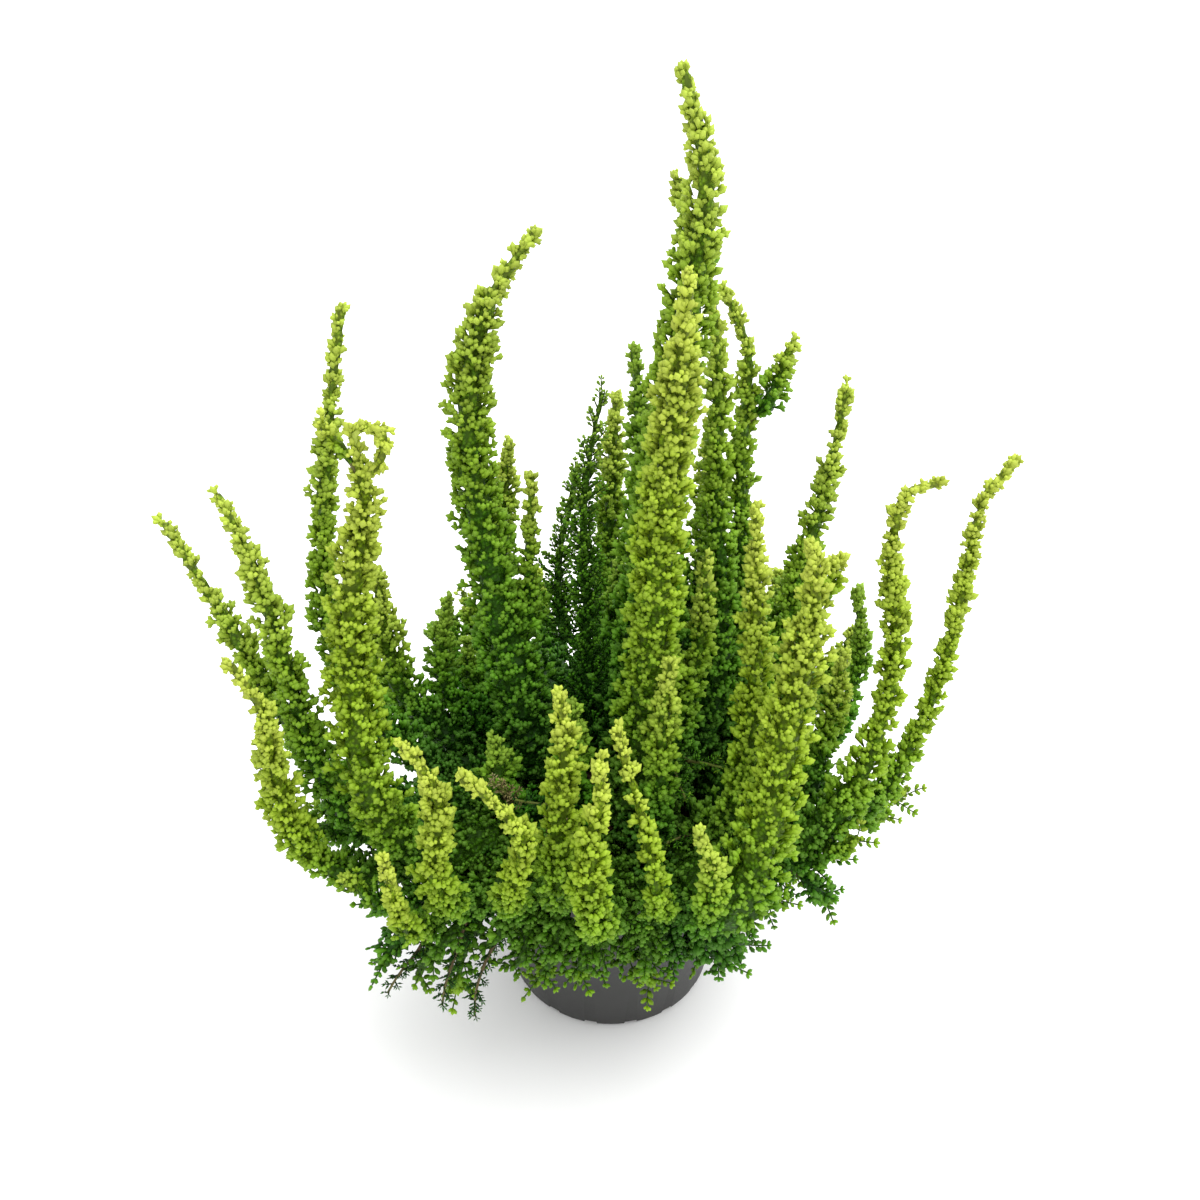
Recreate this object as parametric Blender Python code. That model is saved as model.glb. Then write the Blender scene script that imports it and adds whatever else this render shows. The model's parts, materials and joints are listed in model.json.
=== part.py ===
"""A potted heather: a moulded 13 cm pot, the soil in it and the leafy stems that stand in the soil.

Lengths in this file are millimetres, and MM turns them to metres where a mesh is made. +Z is up and
the origin is the middle of the pot's foot. -Y is the side that the plant is looked at from.
"""

import math
import random
from dataclasses import dataclass, field

import bmesh
import bpy
import numpy as np
from mathutils import Matrix

MM = 0.001
SEED = 23

# Pot: a thin tapered wall with a stacking step, a turned-out rim and drain slots round the foot
POT_HEIGHT = 100.0
POT_TOP_RADIUS = 65.0
POT_FOOT_RADIUS = 45.0
POT_WALL = 1.2
POT_FLOOR = 1.4
FOOT_ROUND = 1.6
STEP_HEIGHT = 79.0
STEP_OUT = 1.5
STEP_RISE = 1.8
BODY_TOP_RADIUS = 59.5
RIM_DEPTH = 6.5
RIM_OUT = 2.6
RIM_ROUND = 0.7
POT_SIDES = 32
DRAIN_SLOTS = 16
DRAIN_WIDTH = 7.5
DRAIN_HEIGHT = 3.2
DRAIN_REACH = 5.0
DRAIN_NARROWING = 0.7

# Soil: fills the pot to a little below the rim, with a lumpy top and one plain hole for each stem
SOIL_GAP = 0.3
SOIL_FACET_ROOM = 0.1
SOIL_LEVEL = 89.0
SOIL_CROWN = 2.0
SOIL_LUMP = 1.3
SOIL_RINGS = 3
SOIL_SIDES = 16
HOLE_DEPTH = 15.0
HOLE_GAP = 0.4

# Stems: bare and woody at the foot, then a slim core that the side shoots stand out of
STEM_RADIUS = 1.5
SPRAY_RADIUS = 1.3
LEAST_CORE = 1.0
SPRAY_BARE = 7.0
SPRAY_BACK = 7.0
STEM_SIDES = 5
SPRAY_SIDES = 4
SLIM_HALF_WIDTH = 11.5
BARE_RISE = 16.0
FOOT_RISE = 7.0
BARE_PITCH = 9.0
CORE_SHARE = 0.36
CORE_TYPICAL = 3.0
SHOOT_PITCH = 10.9
SHOOT_PITCH_PER_CORE = 0.8
SPIRAL_DRIFT = math.radians(6)
SHOOT_LEAN = math.radians(38)
SHOOT_SPREAD = (0.72, 1.22)
TIP_SHARE = 0.4
END_LENGTH = 2.0
START_WIDTH = 0.35
START_END = 0.08
PLUME_END = 0.45
TAPER_START = 0.8

# Where the stems stand and how they pass over the rim
FOOT_REACH = 47.0
FOOT_SHARE = 0.52
FOOT_SPACING = 10.0
FOOT_ROUNDS = 200
FOOT_PUSH = 0.3
RIM_CLEARANCE = 9.5
RIM_ZONE = (51.0, 77.0)
HANG_CLEARANCE = 5.0
CROSSING_RADIUS = 59.0
CROSSING_HEIGHT = 113.0
CROSSING_LEAST_REACH = 69.0

# How the centrelines are drawn and bent clear of each other
CURVE_STEP = 5.0
CURVE_SAMPLES = 24
BEND_ROUNDS = 50
BEND_ROOM = 3.6
BEND_SHARE = 1.1
BEND_PUSH = 0.6
BEND_SMOOTHING = 3
STEM_FREE_AFTER = 14.0
SPRAY_FREE_AFTER = 15.0

# How far apart the faces of two stems stay, and of a stem and the pot
CLEARANCE_STEP = 1.5
FAMILY_GAP = 1.5
WALL_GAP = 1.2
WALL_ZONE = 55.0
RIM_APPROACH = 3.0
PULL_STEPS = (0.9, 0.8, 0.7, 0.6, 0.5, 0.4, 0.3, 0.2, 0.12)


@dataclass
class Spray:
    """A leafy branch: its route in space from just off its stem, and its half widths low and high."""

    route: list
    half_width: tuple


@dataclass
class Stem:
    """A leafy stem: its route above the soil, its half widths low and high, its tint and its sprays."""

    route: list
    half_width: tuple
    tint: str
    sprays: list = field(default_factory=list)


# Routes run from where the leaves are at their thickest, low down, to the tip
STEMS = {
    "stem_left_outer": Stem(
        [(-98, -38, 135), (-118, -40, 165), (-136, -32, 205), (-148, -22, 222), (-160, -14, 243)],
        (9, 6), "green"),
    "stem_left_high": Stem(
        [(-92, -58, 135), (-107, -58, 165), (-115, -50, 210), (-124, -42, 250), (-132, -36, 268)],
        (10, 6.5), "green"),
    "stem_left_lime": Stem(
        [(-96, -72, 125), (-112, -75, 142), (-118, -75, 180), (-118, -74, 205), (-126, -72, 224)],
        (8, 6.5), "lime"),
    "stem_left_slim": Stem(
        [(-80, -15, 135), (-104, -18, 180), (-106, -8, 230), (-100, 0, 275), (-93, 9, 314)],
        (9, 5.5), "green"),
    "stem_left_column": Stem(
        [(-70, -60, 122), (-86, -68, 160), (-91, -55, 195), (-90, -44, 232), (-83, -38, 265),
         (-85, -35, 291)],
        (10, 8.5), "lime",
        [Spray([(-86, -36, 280), (-95, -32, 292)], (4, 3))]),
    "stem_front_left": Stem(
        [(-52, -78, 117), (-62, -96, 145), (-60, -92, 170), (-60, -90, 185), (-70, -85, 201)],
        (8.5, 6.5), "lime",
        [Spray([(-66, -90, 105), (-73, -90, 92)], (6, 5)),
         Spray([(-56, -84, 99), (-60, -85, 76)], (6, 4))]),
    "stem_front_left_low": Stem(
        [(-60, -80, 113), (-72, -98, 125), (-76, -102, 145), (-78, -100, 162)],
        (7.5, 5.5), "lime"),
    "stem_inner_left": Stem(
        [(-70, 5, 130), (-86, 5, 150), (-92, 12, 175), (-93, 20, 199)],
        (12, 8), "green"),
    "stem_inner_left_dark": Stem(
        [(-55, 12, 128), (-71, 15, 150), (-70, 24, 165), (-68, 30, 178)],
        (12, 7), "dark"),
    "stem_inner_back": Stem(
        [(-45, 20, 120), (-59, 26, 140), (-61, 32, 155)],
        (11, 7), "dark"),
    "stem_middle_left": Stem(
        [(-30, -8, 125), (-40, -5, 175), (-50, 8, 235), (-52, 15, 277), (-43, 20, 313), (-27, 25, 335)],
        (12, 8.5), "green",
        [Spray([(-34, 2, 188), (-32, 10, 212), (-31, 20, 243)], (9, 4))]),
    "stem_centre_feather": Stem(
        [(-8, 5, 130), (-10, 14, 180), (-11, 20, 232), (-4, 30, 273)],
        (12, 6), "dark",
        [Spray([(-19, 22, 168), (-22, 32, 192), (-14, 40, 232)], (10, 5))]),
    "stem_centre_back": Stem(
        [(8, 20, 130), (12, 30, 180), (12, 35, 235), (8, 40, 286)],
        (11, 6.5), "dark"),
    "stem_centre_tall": Stem(
        [(8, -15, 125), (13, -8, 190), (16, -5, 247), (25, 0, 321), (29, 5, 359), (21, 10, 391)],
        (12, 9), "green",
        [Spray([(27, 14, 327), (21, 20, 355)], (6, 4))]),
    "stem_centre_front": Stem(
        [(8, -36, 120), (12, -38, 160), (17, -30, 262), (22, -25, 321), (23, -22, 339)],
        (12, 8.5), "lime"),
    "stem_right_pair": Stem(
        [(35, -5, 130), (43, 0, 180), (39, 10, 238), (37, 20, 294), (33, 25, 321)],
        (11, 6), "green"),
    "stem_right_fork": Stem(
        [(45, 8, 130), (51, 12, 175), (49, 25, 251), (49, 30, 290), (40, 35, 311)],
        (10, 5.5), "green",
        [Spray([(57, 26, 270), (65, 30, 293)], (6, 5))]),
    "stem_right_high": Stem(
        [(52, -8, 125), (66, -8, 168), (70, 2, 200), (80, 15, 240), (86, 25, 277)],
        (11, 6), "green"),
    "stem_right_dark": Stem(
        [(58, 22, 125), (72, 32, 158), (76, 38, 190)],
        (13, 9), "dark"),
    "stem_right_curled": Stem(
        [(72, -48, 118), (91, -47, 143), (101, -36, 170), (104, -28, 197), (100, -18, 238),
         (103, -15, 256), (114, -12, 258)],
        (14, 5.5), "lime"),
    "stem_right_slim": Stem(
        [(74, 0, 120), (92, 0, 130), (98, 9, 143), (103, 15, 160), (99, 20, 189)],
        (9, 5), "dark"),
    "stem_right_outer": Stem(
        [(82, -34, 117), (102, -38, 130), (116, -28, 148), (125, -20, 178), (131, -10, 212),
         (136, 0, 246), (146, 5, 257)],
        (10, 4.5), "lime",
        [Spray([(104, -28, 112), (113, -22, 107)], (7, 5))]),
    "stem_front_right_pale": Stem(
        [(35, -48, 118), (47, -58, 152), (51, -45, 188), (51, -30, 222), (50, -20, 252)],
        (11, 6.5), "lime"),
    "stem_front_right": Stem(
        [(32, -75, 114), (43, -90, 128), (52, -84, 152), (58, -72, 178), (62, -62, 201),
         (68, -50, 239), (65, -48, 255)],
        (14, 9), "lime",
        [Spray([(73, -44, 234), (76, -41, 245)], (4.5, 4)),
         Spray([(58, -72, 112), (64, -66, 105)], (7, 5))]),
    "stem_right_low": Stem(
        [(62, -24, 117), (78, -28, 126), (85, -16, 145), (91, -6, 178)],
        (11, 6.5), "green"),
    "stem_middle_right": Stem(
        [(20, -28, 125), (26, -28, 165), (33, -19, 195), (34, -12, 227)],
        (11, 6), "green"),
    "stem_crown_front": Stem(
        [(12, -50, 118), (17, -56, 150), (18, -52, 180), (20, -46, 206)],
        (11, 6), "green"),
    "stem_crown_left": Stem(
        [(-32, -38, 118), (-42, -44, 140), (-44, -42, 166)],
        (11, 7), "dark"),
    "stem_crown_middle": Stem(
        [(-12, -36, 118), (-16, -44, 148), (-14, -42, 182)],
        (11, 7), "dark"),
    "stem_front_arch": Stem(
        [(-35, -75, 114), (-36, -96, 140), (-31, -95, 167), (-38, -94, 180), (-50, -92, 193)],
        (9, 5), "lime",
        [Spray([(-42, -88, 110), (-49, -86, 101)], (6, 5)),
         Spray([(-33, -86, 98), (-38, -84, 88)], (6, 4))]),
    "stem_front_middle": Stem(
        [(-20, -72, 117), (-19, -88, 135), (-19, -84, 155), (-17, -75, 185), (-18, -68, 208)],
        (9.5, 7), "lime",
        [Spray([(-21, -85, 102), (-28, -86, 83)], (7, 5))]),
    "stem_front_bright": Stem(
        [(-2, -80, 114), (-7, -103, 135), (-8, -98, 165), (-5, -92, 182), (-5, -88, 195)],
        (9, 6.5), "lime",
        [Spray([(-10, -86, 100), (-13, -86, 84)], (7, 5))]),
    "stem_front_thin": Stem(
        [(15, -76, 115), (16, -98, 138), (11, -90, 166), (5, -80, 184), (1, -75, 198)],
        (8, 4.5), "lime",
        [Spray([(13, -88, 100), (14, -86, 82)], (7, 5))]),
    "stem_front_short": Stem(
        [(30, -77, 114), (33, -99, 132), (34, -98, 155), (29, -95, 169)],
        (9, 5.5), "green",
        [Spray([(37, -86, 102), (43, -81, 85)], (7, 5)),
         Spray([(44, -88, 108), (49, -82, 98)], (6, 5))]),
    "stem_low_left": Stem(
        [(-88, -36, 114), (-112, -46, 122), (-130, -50, 134)],
        (10, 7), "green",
        [Spray([(-104, -32, 113), (-118, -30, 118)], (7, 5))]),
    "stem_low_left_front": Stem(
        [(-78, -56, 113), (-98, -66, 122), (-114, -70, 136)],
        (10, 7), "green"),
    "stem_low_left_edge": Stem(
        [(-66, -68, 112), (-84, -82, 120), (-96, -84, 136)],
        (9, 6.5), "green",
        [Spray([(-78, -84, 108), (-85, -88, 98)], (6, 5))]),
    "stem_low_right": Stem(
        [(82, -14, 112), (106, -13, 108), (122, -10, 106)],
        (9, 5.5), "green"),
    "stem_low_right_front": Stem(
        [(60, -50, 112), (80, -57, 117), (93, -57, 130)],
        (10, 6), "green",
        [Spray([(78, -62, 108), (84, -60, 98)], (6, 5))]),
    "stem_back_left": Stem(
        [(-55, 40, 118), (-72, 58, 130), (-74, 70, 148)],
        (11, 8), "dark"),
    "stem_back_left_high": Stem(
        [(-32, 42, 120), (-46, 58, 150), (-47, 62, 195), (-42, 60, 236)],
        (11, 7), "green"),
    "stem_back_middle": Stem(
        [(-4, 48, 120), (-2, 70, 150), (0, 78, 200), (2, 80, 246)],
        (11, 7), "green"),
    "stem_back_right_high": Stem(
        [(26, 44, 120), (38, 66, 150), (42, 74, 200), (41, 74, 240)],
        (11, 7), "green"),
    "stem_back_right": Stem(
        [(50, 45, 118), (70, 66, 135), (76, 76, 160)],
        (11, 8), "green"),
    "stem_side_right": Stem(
        [(76, 30, 114), (98, 42, 128), (106, 48, 150)],
        (11, 7), "green"),
    "stem_side_left": Stem(
        [(-76, 24, 114), (-100, 34, 130), (-110, 38, 155)],
        (11, 7), "green"),
    "stem_low_back_right": Stem(
        [(20, 72, 113), (26, 96, 120), (30, 106, 138)],
        (10, 7), "green",
        [Spray([(26, 90, 106), (28, 94, 92)], (7, 5))]),
    "stem_low_back_left": Stem(
        [(-26, 72, 113), (-32, 94, 122), (-35, 104, 142)],
        (10, 7), "green",
        [Spray([(-36, 86, 104), (-40, 88, 90)], (7, 5))]),
    "stem_low_back_corner": Stem(
        [(56, 56, 113), (78, 78, 118), (90, 88, 134)],
        (10, 7), "green",
        [Spray([(76, 66, 108), (86, 66, 100)], (7, 5))]),
    "stem_crown_back": Stem(
        [(4, 26, 122), (2, 44, 146), (4, 52, 182)],
        (11, 7), "dark"),
    "stem_crown_right": Stem(
        [(34, 22, 122), (48, 36, 144), (54, 48, 186)],
        (11, 7), "dark"),
    "stem_back_corner_left": Stem(
        [(-46, 54, 114), (-60, 76, 122), (-68, 86, 144)],
        (10, 7), "green"),
    "stem_back_edge": Stem(
        [(44, 66, 114), (54, 90, 120), (58, 102, 140)],
        (10, 7), "green"),
}

TINTS = {
    "lime": (0.42, 0.47, 0.05, 1.0),
    "green": (0.16, 0.27, 0.03, 1.0),
    "dark": (0.05, 0.12, 0.02, 1.0),
}


def clear_scene():
    """Removes whatever the scene holds at the start."""
    for thing in list(bpy.data.objects):
        bpy.data.objects.remove(thing, do_unlink=True)


def make_material(name, colour, roughness):
    """Returns a Principled material of one colour and roughness, with no metal in it."""
    material = bpy.data.materials.new(name)
    material.use_nodes = True
    shader = material.node_tree.nodes["Principled BSDF"]
    shader.inputs["Base Color"].default_value = colour
    shader.inputs["Roughness"].default_value = roughness
    shader.inputs["Metallic"].default_value = 0.0
    material.diffuse_color = colour
    return material


def add_object(name, bm, material):
    """Turns a bmesh in millimetres to an object in metres."""
    bmesh.ops.scale(bm, vec=(MM, MM, MM), verts=bm.verts)
    mesh = bpy.data.meshes.new(name)
    bm.to_mesh(mesh)
    bm.free()
    thing = bpy.data.objects.new(name, mesh)
    thing.data.materials.append(material)
    bpy.context.scene.collection.objects.link(thing)
    return thing


def apply_boolean(thing, cutter, operation, solver):
    """Applies one Boolean to an object and removes the other object."""
    modifier = thing.modifiers.new("join", "BOOLEAN")
    modifier.operation = operation
    modifier.solver = solver
    modifier.object = cutter
    graph = bpy.context.evaluated_depsgraph_get()
    result = bpy.data.meshes.new_from_object(thing.evaluated_get(graph))
    thing.modifiers.clear()
    thing.data = result
    bpy.data.objects.remove(cutter, do_unlink=True)


# Pot and soil

def outer_radius(height):
    """Returns the pot's outer radius at a height, leaving out the rim."""
    slope = (BODY_TOP_RADIUS - POT_FOOT_RADIUS) / STEP_HEIGHT
    radius = POT_FOOT_RADIUS + slope * min(height, STEP_HEIGHT)
    if height > STEP_HEIGHT:
        radius += STEP_OUT * min(1.0, (height - STEP_HEIGHT) / STEP_RISE)
        top = POT_TOP_RADIUS - RIM_OUT
        share = max(0.0, height - STEP_HEIGHT - STEP_RISE) / (POT_HEIGHT - STEP_HEIGHT - STEP_RISE)
        radius += share * (top - BODY_TOP_RADIUS - STEP_OUT)
    return radius


def inner_radius(height):
    """Returns the radius of the pot's inside at a height."""
    return outer_radius(max(0.0, height - POT_WALL / 2)) - POT_WALL


def turned(profile, sides):
    """Returns a closed bmesh turned from (radius, height) points whose first and last are on the axis."""
    bm = bmesh.new()
    rings = []
    for radius, height in profile:
        if radius == 0:
            rings.append([bm.verts.new((0, 0, height))])
            continue
        turns = [math.tau * k / sides for k in range(sides)]
        rings.append([bm.verts.new((radius * math.cos(a), radius * math.sin(a), height)) for a in turns])
    for low, high in zip(rings, rings[1:]):
        for k in range(sides):
            corners = [low[k % len(low)], low[(k + 1) % len(low)],
                       high[(k + 1) % len(high)], high[k % len(high)]]
            bm.faces.new(list(dict.fromkeys(corners)))
    return bm


def drain_cutter():
    """Returns the cutter of the drain slots, one block for each, astride the corner of the foot."""
    bm = bmesh.new()
    for k in range(DRAIN_SLOTS):
        turn = math.tau * (k + 0.5) / DRAIN_SLOTS
        made = bmesh.ops.create_cube(bm, size=1.0)["verts"]
        bmesh.ops.scale(bm, vec=(2 * DRAIN_REACH, DRAIN_WIDTH, 2 * DRAIN_HEIGHT), verts=made)
        for vert in made:
            if vert.co.z > 0:
                vert.co.y *= DRAIN_NARROWING
        bmesh.ops.translate(bm, vec=(POT_FOOT_RADIUS, 0, 0), verts=made)
        bmesh.ops.rotate(bm, matrix=Matrix.Rotation(turn, 3, "Z"), verts=made)
    return add_object("drain_cutter", bm, bpy.data.materials["moulded_plastic"])


def build_pot():
    """Makes the pot as one thin shell, open at the top and slotted round the foot."""
    rim_low = POT_HEIGHT - RIM_DEPTH
    step_top = STEP_HEIGHT + STEP_RISE
    profile = [
        (0, 0),
        (POT_FOOT_RADIUS - FOOT_ROUND, 0),
        (outer_radius(FOOT_ROUND), FOOT_ROUND),
        (outer_radius(STEP_HEIGHT), STEP_HEIGHT),
        (outer_radius(step_top), step_top),
        (outer_radius(rim_low), rim_low),
        (POT_TOP_RADIUS, rim_low + RIM_ROUND),
        (POT_TOP_RADIUS, POT_HEIGHT - RIM_ROUND),
        (POT_TOP_RADIUS - RIM_ROUND, POT_HEIGHT),
        (inner_radius(POT_HEIGHT) + RIM_ROUND, POT_HEIGHT),
        (inner_radius(POT_HEIGHT - RIM_ROUND), POT_HEIGHT - RIM_ROUND),
        (inner_radius(step_top + POT_WALL / 2), step_top + POT_WALL / 2),
        (inner_radius(STEP_HEIGHT + POT_WALL / 2), STEP_HEIGHT + POT_WALL / 2),
        (inner_radius(POT_FLOOR + FOOT_ROUND), POT_FLOOR + FOOT_ROUND),
        (inner_radius(POT_FLOOR) - FOOT_ROUND, POT_FLOOR),
        (0, POT_FLOOR),
    ]
    bm = turned(profile, POT_SIDES)
    bmesh.ops.recalc_face_normals(bm, faces=bm.faces)
    pot = add_object("pot", bm, bpy.data.materials["moulded_plastic"])
    apply_boolean(pot, drain_cutter(), "DIFFERENCE", "EXACT")
    pot.data.shade_smooth()
    pot.data.set_sharp_from_angle(angle=math.radians(35))
    return pot


def soil_height(x, y):
    """Returns the height of the soil's top, crowned a little in the middle."""
    share = min(1.0, math.hypot(x, y) / inner_radius(SOIL_LEVEL))
    return SOIL_LEVEL + SOIL_CROWN * (1 - share * share)


def build_soil(feet, draw):
    """Makes the soil as one solid with a lumpy top and a plain hole for each foot."""
    bottom = POT_FLOOR + SOIL_GAP
    step_top = STEP_HEIGHT + STEP_RISE
    lean = SOIL_GAP + SOIL_FACET_ROOM
    profile = [
        (0, bottom),
        (inner_radius(bottom) - FOOT_ROUND - lean, bottom),
        (inner_radius(bottom + FOOT_ROUND) - lean, bottom + FOOT_ROUND + lean),
        (inner_radius(STEP_HEIGHT) - lean, STEP_HEIGHT + POT_WALL),
        (inner_radius(step_top) - lean, step_top + POT_WALL),
    ]
    edge = inner_radius(SOIL_LEVEL) - lean
    for ring in range(SOIL_RINGS, -1, -1):
        radius = edge * ring / SOIL_RINGS
        profile.append((radius, soil_height(radius, 0)))
    bm = turned(profile, SOIL_SIDES)
    for vert in bm.verts:
        inside = math.hypot(vert.co.x, vert.co.y) < edge - SOIL_GAP
        if inside and vert.co.z > SOIL_LEVEL:
            vert.co.z += draw.uniform(-SOIL_LUMP, SOIL_LUMP)
    bmesh.ops.recalc_face_normals(bm, faces=bm.faces)
    soil = add_object("soil", bm, bpy.data.materials["potting_soil"])
    cutter = bmesh.new()
    hole = (STEM_RADIUS + HOLE_GAP) / math.cos(math.pi / STEM_SIDES)
    for x, y in feet:
        made = bmesh.ops.create_cone(
            cutter, cap_ends=True, segments=STEM_SIDES, radius1=hole, radius2=hole,
            depth=2 * HOLE_DEPTH)["verts"]
        bmesh.ops.translate(cutter, vec=(x, y, soil_height(x, y)), verts=made)
    holes = add_object("hole_cutter", cutter, bpy.data.materials["potting_soil"])
    apply_boolean(soil, holes, "DIFFERENCE", "EXACT")
    return soil


# Centrelines of the stems

def smooth_curve(points):
    """Returns points every CURVE_STEP along a smooth curve through the given ones, with no overshoot."""
    p = np.array(points, float)
    p = np.vstack([2 * p[0] - p[1], p, 2 * p[-1] - p[-2]])
    knots = np.concatenate([[0.0], np.cumsum(np.linalg.norm(np.diff(p, axis=0), axis=1) ** 0.5)])
    dense = []
    for n in range(len(p) - 3):
        a, b, c, d = knots[n:n + 4]
        t = np.linspace(b, c, CURVE_SAMPLES, endpoint=False)[:, None]
        ab = ((b - t) * p[n] + (t - a) * p[n + 1]) / (b - a)
        bc = ((c - t) * p[n + 1] + (t - b) * p[n + 2]) / (c - b)
        cd = ((d - t) * p[n + 2] + (t - c) * p[n + 3]) / (d - c)
        ac = ((c - t) * ab + (t - a) * bc) / (c - a)
        bd = ((d - t) * bc + (t - b) * cd) / (d - b)
        dense.append(((c - t) * ac + (t - b) * bd) / (c - b))
    dense = np.vstack(dense + [p[-2:-1]])
    return evenly(dense, CURVE_STEP)


def arc_lengths(points):
    """Returns the distance along a line of points from its start to each of them."""
    steps = np.linalg.norm(np.diff(points, axis=0), axis=1)
    return np.concatenate([[0.0], np.cumsum(steps)])


def at_length(points, lengths):
    """Returns the places at given distances along a line of points."""
    along = arc_lengths(points)
    return np.stack([np.interp(lengths, along, points[:, k]) for k in range(3)], axis=1)


def evenly(points, step):
    """Returns a line of points again, with even steps of about the given length."""
    total = arc_lengths(points)[-1]
    return at_length(points, np.linspace(0, total, max(3, round(total / step) + 1)))


def spread_feet(stems):
    """Returns where each stem stands in the soil: towards its route, and evenly spaced."""
    feet = np.array([stem.route[0][:2] for stem in stems], float) * FOOT_SHARE
    for _ in range(FOOT_ROUNDS):
        apart = feet[:, None] - feet[None]
        distance = np.linalg.norm(apart, axis=2) + np.eye(len(feet)) * 1e3
        push = np.clip(FOOT_SPACING - distance, 0, None)[..., None] * apart / distance[..., None]
        feet += FOOT_PUSH * push.sum(axis=1)
        reach = np.linalg.norm(feet, axis=1, keepdims=True)
        feet *= np.minimum(1.0, FOOT_REACH / np.maximum(reach, 1e-6))
    return feet


def stem_curve(stem, foot):
    """Returns a stem's centreline, from the bottom of its hole over the rim to its tip."""
    top = soil_height(*foot)
    points = [(*foot, top), (*foot, top + FOOT_RISE)]
    first = np.array(stem.route[0][:2], float)
    reach = np.linalg.norm(first)
    if reach > CROSSING_LEAST_REACH:
        cross = first / reach * CROSSING_RADIUS
        points.append((*cross, CROSSING_HEIGHT))
    above = smooth_curve(points + list(stem.route))
    below = np.array([(*foot, top - depth) for depth in (HOLE_DEPTH - HOLE_GAP, HOLE_DEPTH / 2)])
    return np.vstack([below, above])


@dataclass
class Branch:
    """One centreline with its widths: a stem, or a spray that starts inside its stem."""

    family: int
    line: np.ndarray
    half_width: tuple
    sides: int
    parent: int = -1
    leaves_at: float = 0.0


def at_share(points, share):
    """Returns the place at a share of the distance along a line of points."""
    return at_length(points, [share * arc_lengths(points)[-1]])[0]


def leaving_share(line, first):
    """Returns where a spray leaves its stem: a little below the stem's nearest place to the spray."""
    along = arc_lengths(line)
    nearest = along[np.argmin(np.linalg.norm(line - np.array(first, float), axis=1))]
    return (nearest - SPRAY_BACK) / along[-1]


def all_branches(stems, feet):
    """Returns the centrelines of all stems and sprays, before they are bent clear of each other."""
    branches = []
    for family, (stem, foot) in enumerate(zip(stems, feet)):
        sides = STEM_SIDES if stem.half_width[0] > SLIM_HALF_WIDTH else SPRAY_SIDES
        branches.append(Branch(family, stem_curve(stem, foot), stem.half_width, sides))
        parent = len(branches) - 1
        for spray in stem.sprays:
            share = leaving_share(branches[parent].line, spray.route[0])
            line = smooth_curve([at_share(branches[parent].line, share)] + list(spray.route))
            branches.append(Branch(family, line, spray.half_width, SPRAY_SIDES, parent, share))
    return branches


def width_at(branch, share):
    """Returns a branch's half width at a share of its leafy length."""
    low, high = branch.half_width
    wide = low + (high - low) * np.clip(share / PLUME_END, 0, 1)
    fade = np.clip((share - TAPER_START) / (1 - TAPER_START), 0, 1)
    start = np.clip(START_WIDTH + (1 - START_WIDTH) * share / START_END, 0, 1)
    return wide * start * (1 - (1 - TIP_SHARE) * fade)


def bare_length(branch):
    """Returns the length of a branch's bare foot."""
    return HOLE_DEPTH + BARE_RISE if branch.parent < 0 else SPRAY_BARE


def core_at(branch, lengths):
    """Returns a branch's core radius at distances along it."""
    total = arc_lengths(branch.line)[-1]
    bare = bare_length(branch)
    share = np.clip((lengths - bare) / (total - bare), 0, 1)
    core = np.maximum(CORE_SHARE * width_at(branch, share), LEAST_CORE)
    return np.where(lengths < bare, STEM_RADIUS if branch.parent < 0 else SPRAY_RADIUS, core)


def keep_off_rim(branch):
    """Lifts a stem over the rim, or holds a hanging spray outside the pot."""
    line = branch.line
    reach = np.linalg.norm(line[:, :2], axis=1)
    if branch.parent < 0:
        near = (reach > RIM_ZONE[0]) & (reach < RIM_ZONE[1])
        line[near, 2] = np.maximum(line[near, 2], POT_HEIGHT + RIM_CLEARANCE)
        return
    low = (line[:, 2] < POT_HEIGHT + RIM_CLEARANCE) & (reach < POT_TOP_RADIUS + HANG_CLEARANCE)
    wanted = POT_TOP_RADIUS + HANG_CLEARANCE
    line[low, :2] *= (wanted / np.maximum(reach[low], 1))[:, None]


def bend_clear(branches):
    """Bends the branches of different stems away from each other, a little at a time."""
    owners = np.concatenate([np.full(len(b.line), b.family) for b in branches])
    ends = np.cumsum([len(b.line) for b in branches])
    cores = np.concatenate([core_at(b, arc_lengths(b.line)) for b in branches])
    room = BEND_SHARE * (cores[:, None] + cores[None]) + BEND_ROOM
    room[owners[:, None] == owners[None]] = 0.0
    for _ in range(BEND_ROUNDS):
        points = np.concatenate([b.line for b in branches])
        square = (points ** 2).sum(axis=1)
        distance = square[:, None] + square[None] - 2 * points @ points.T
        distance = np.sqrt(np.maximum(distance, 0.01))
        short = np.clip(room - distance, 0, None) / distance
        push = short.sum(axis=1)[:, None] * points - short @ points
        push /= np.maximum((short > 0).sum(axis=1), 1)[:, None]
        for branch, moves in zip(branches, np.split(push, ends[:-1])):
            for _ in range(BEND_SMOOTHING):
                padded = np.vstack([moves[:1], moves, moves[-1:]])
                moves = (padded[:-2] + 2 * padded[1:-1] + padded[2:]) / 4
            along = arc_lengths(branch.line)
            free = along / STEM_FREE_AFTER
            if branch.parent < 0:
                free = (along - HOLE_DEPTH) / STEM_FREE_AFTER
            branch.line += BEND_PUSH * moves * np.clip(free, 0, 1)[:, None]
            keep_off_rim(branch)
        for branch in branches:
            if branch.parent >= 0:
                start = at_share(branches[branch.parent].line, branch.leaves_at)
                fade = np.clip(1 - arc_lengths(branch.line) / SPRAY_FREE_AFTER, 0, 1)[:, None]
                branch.line += (start - branch.line[0]) * fade


# Side shoots

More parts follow.
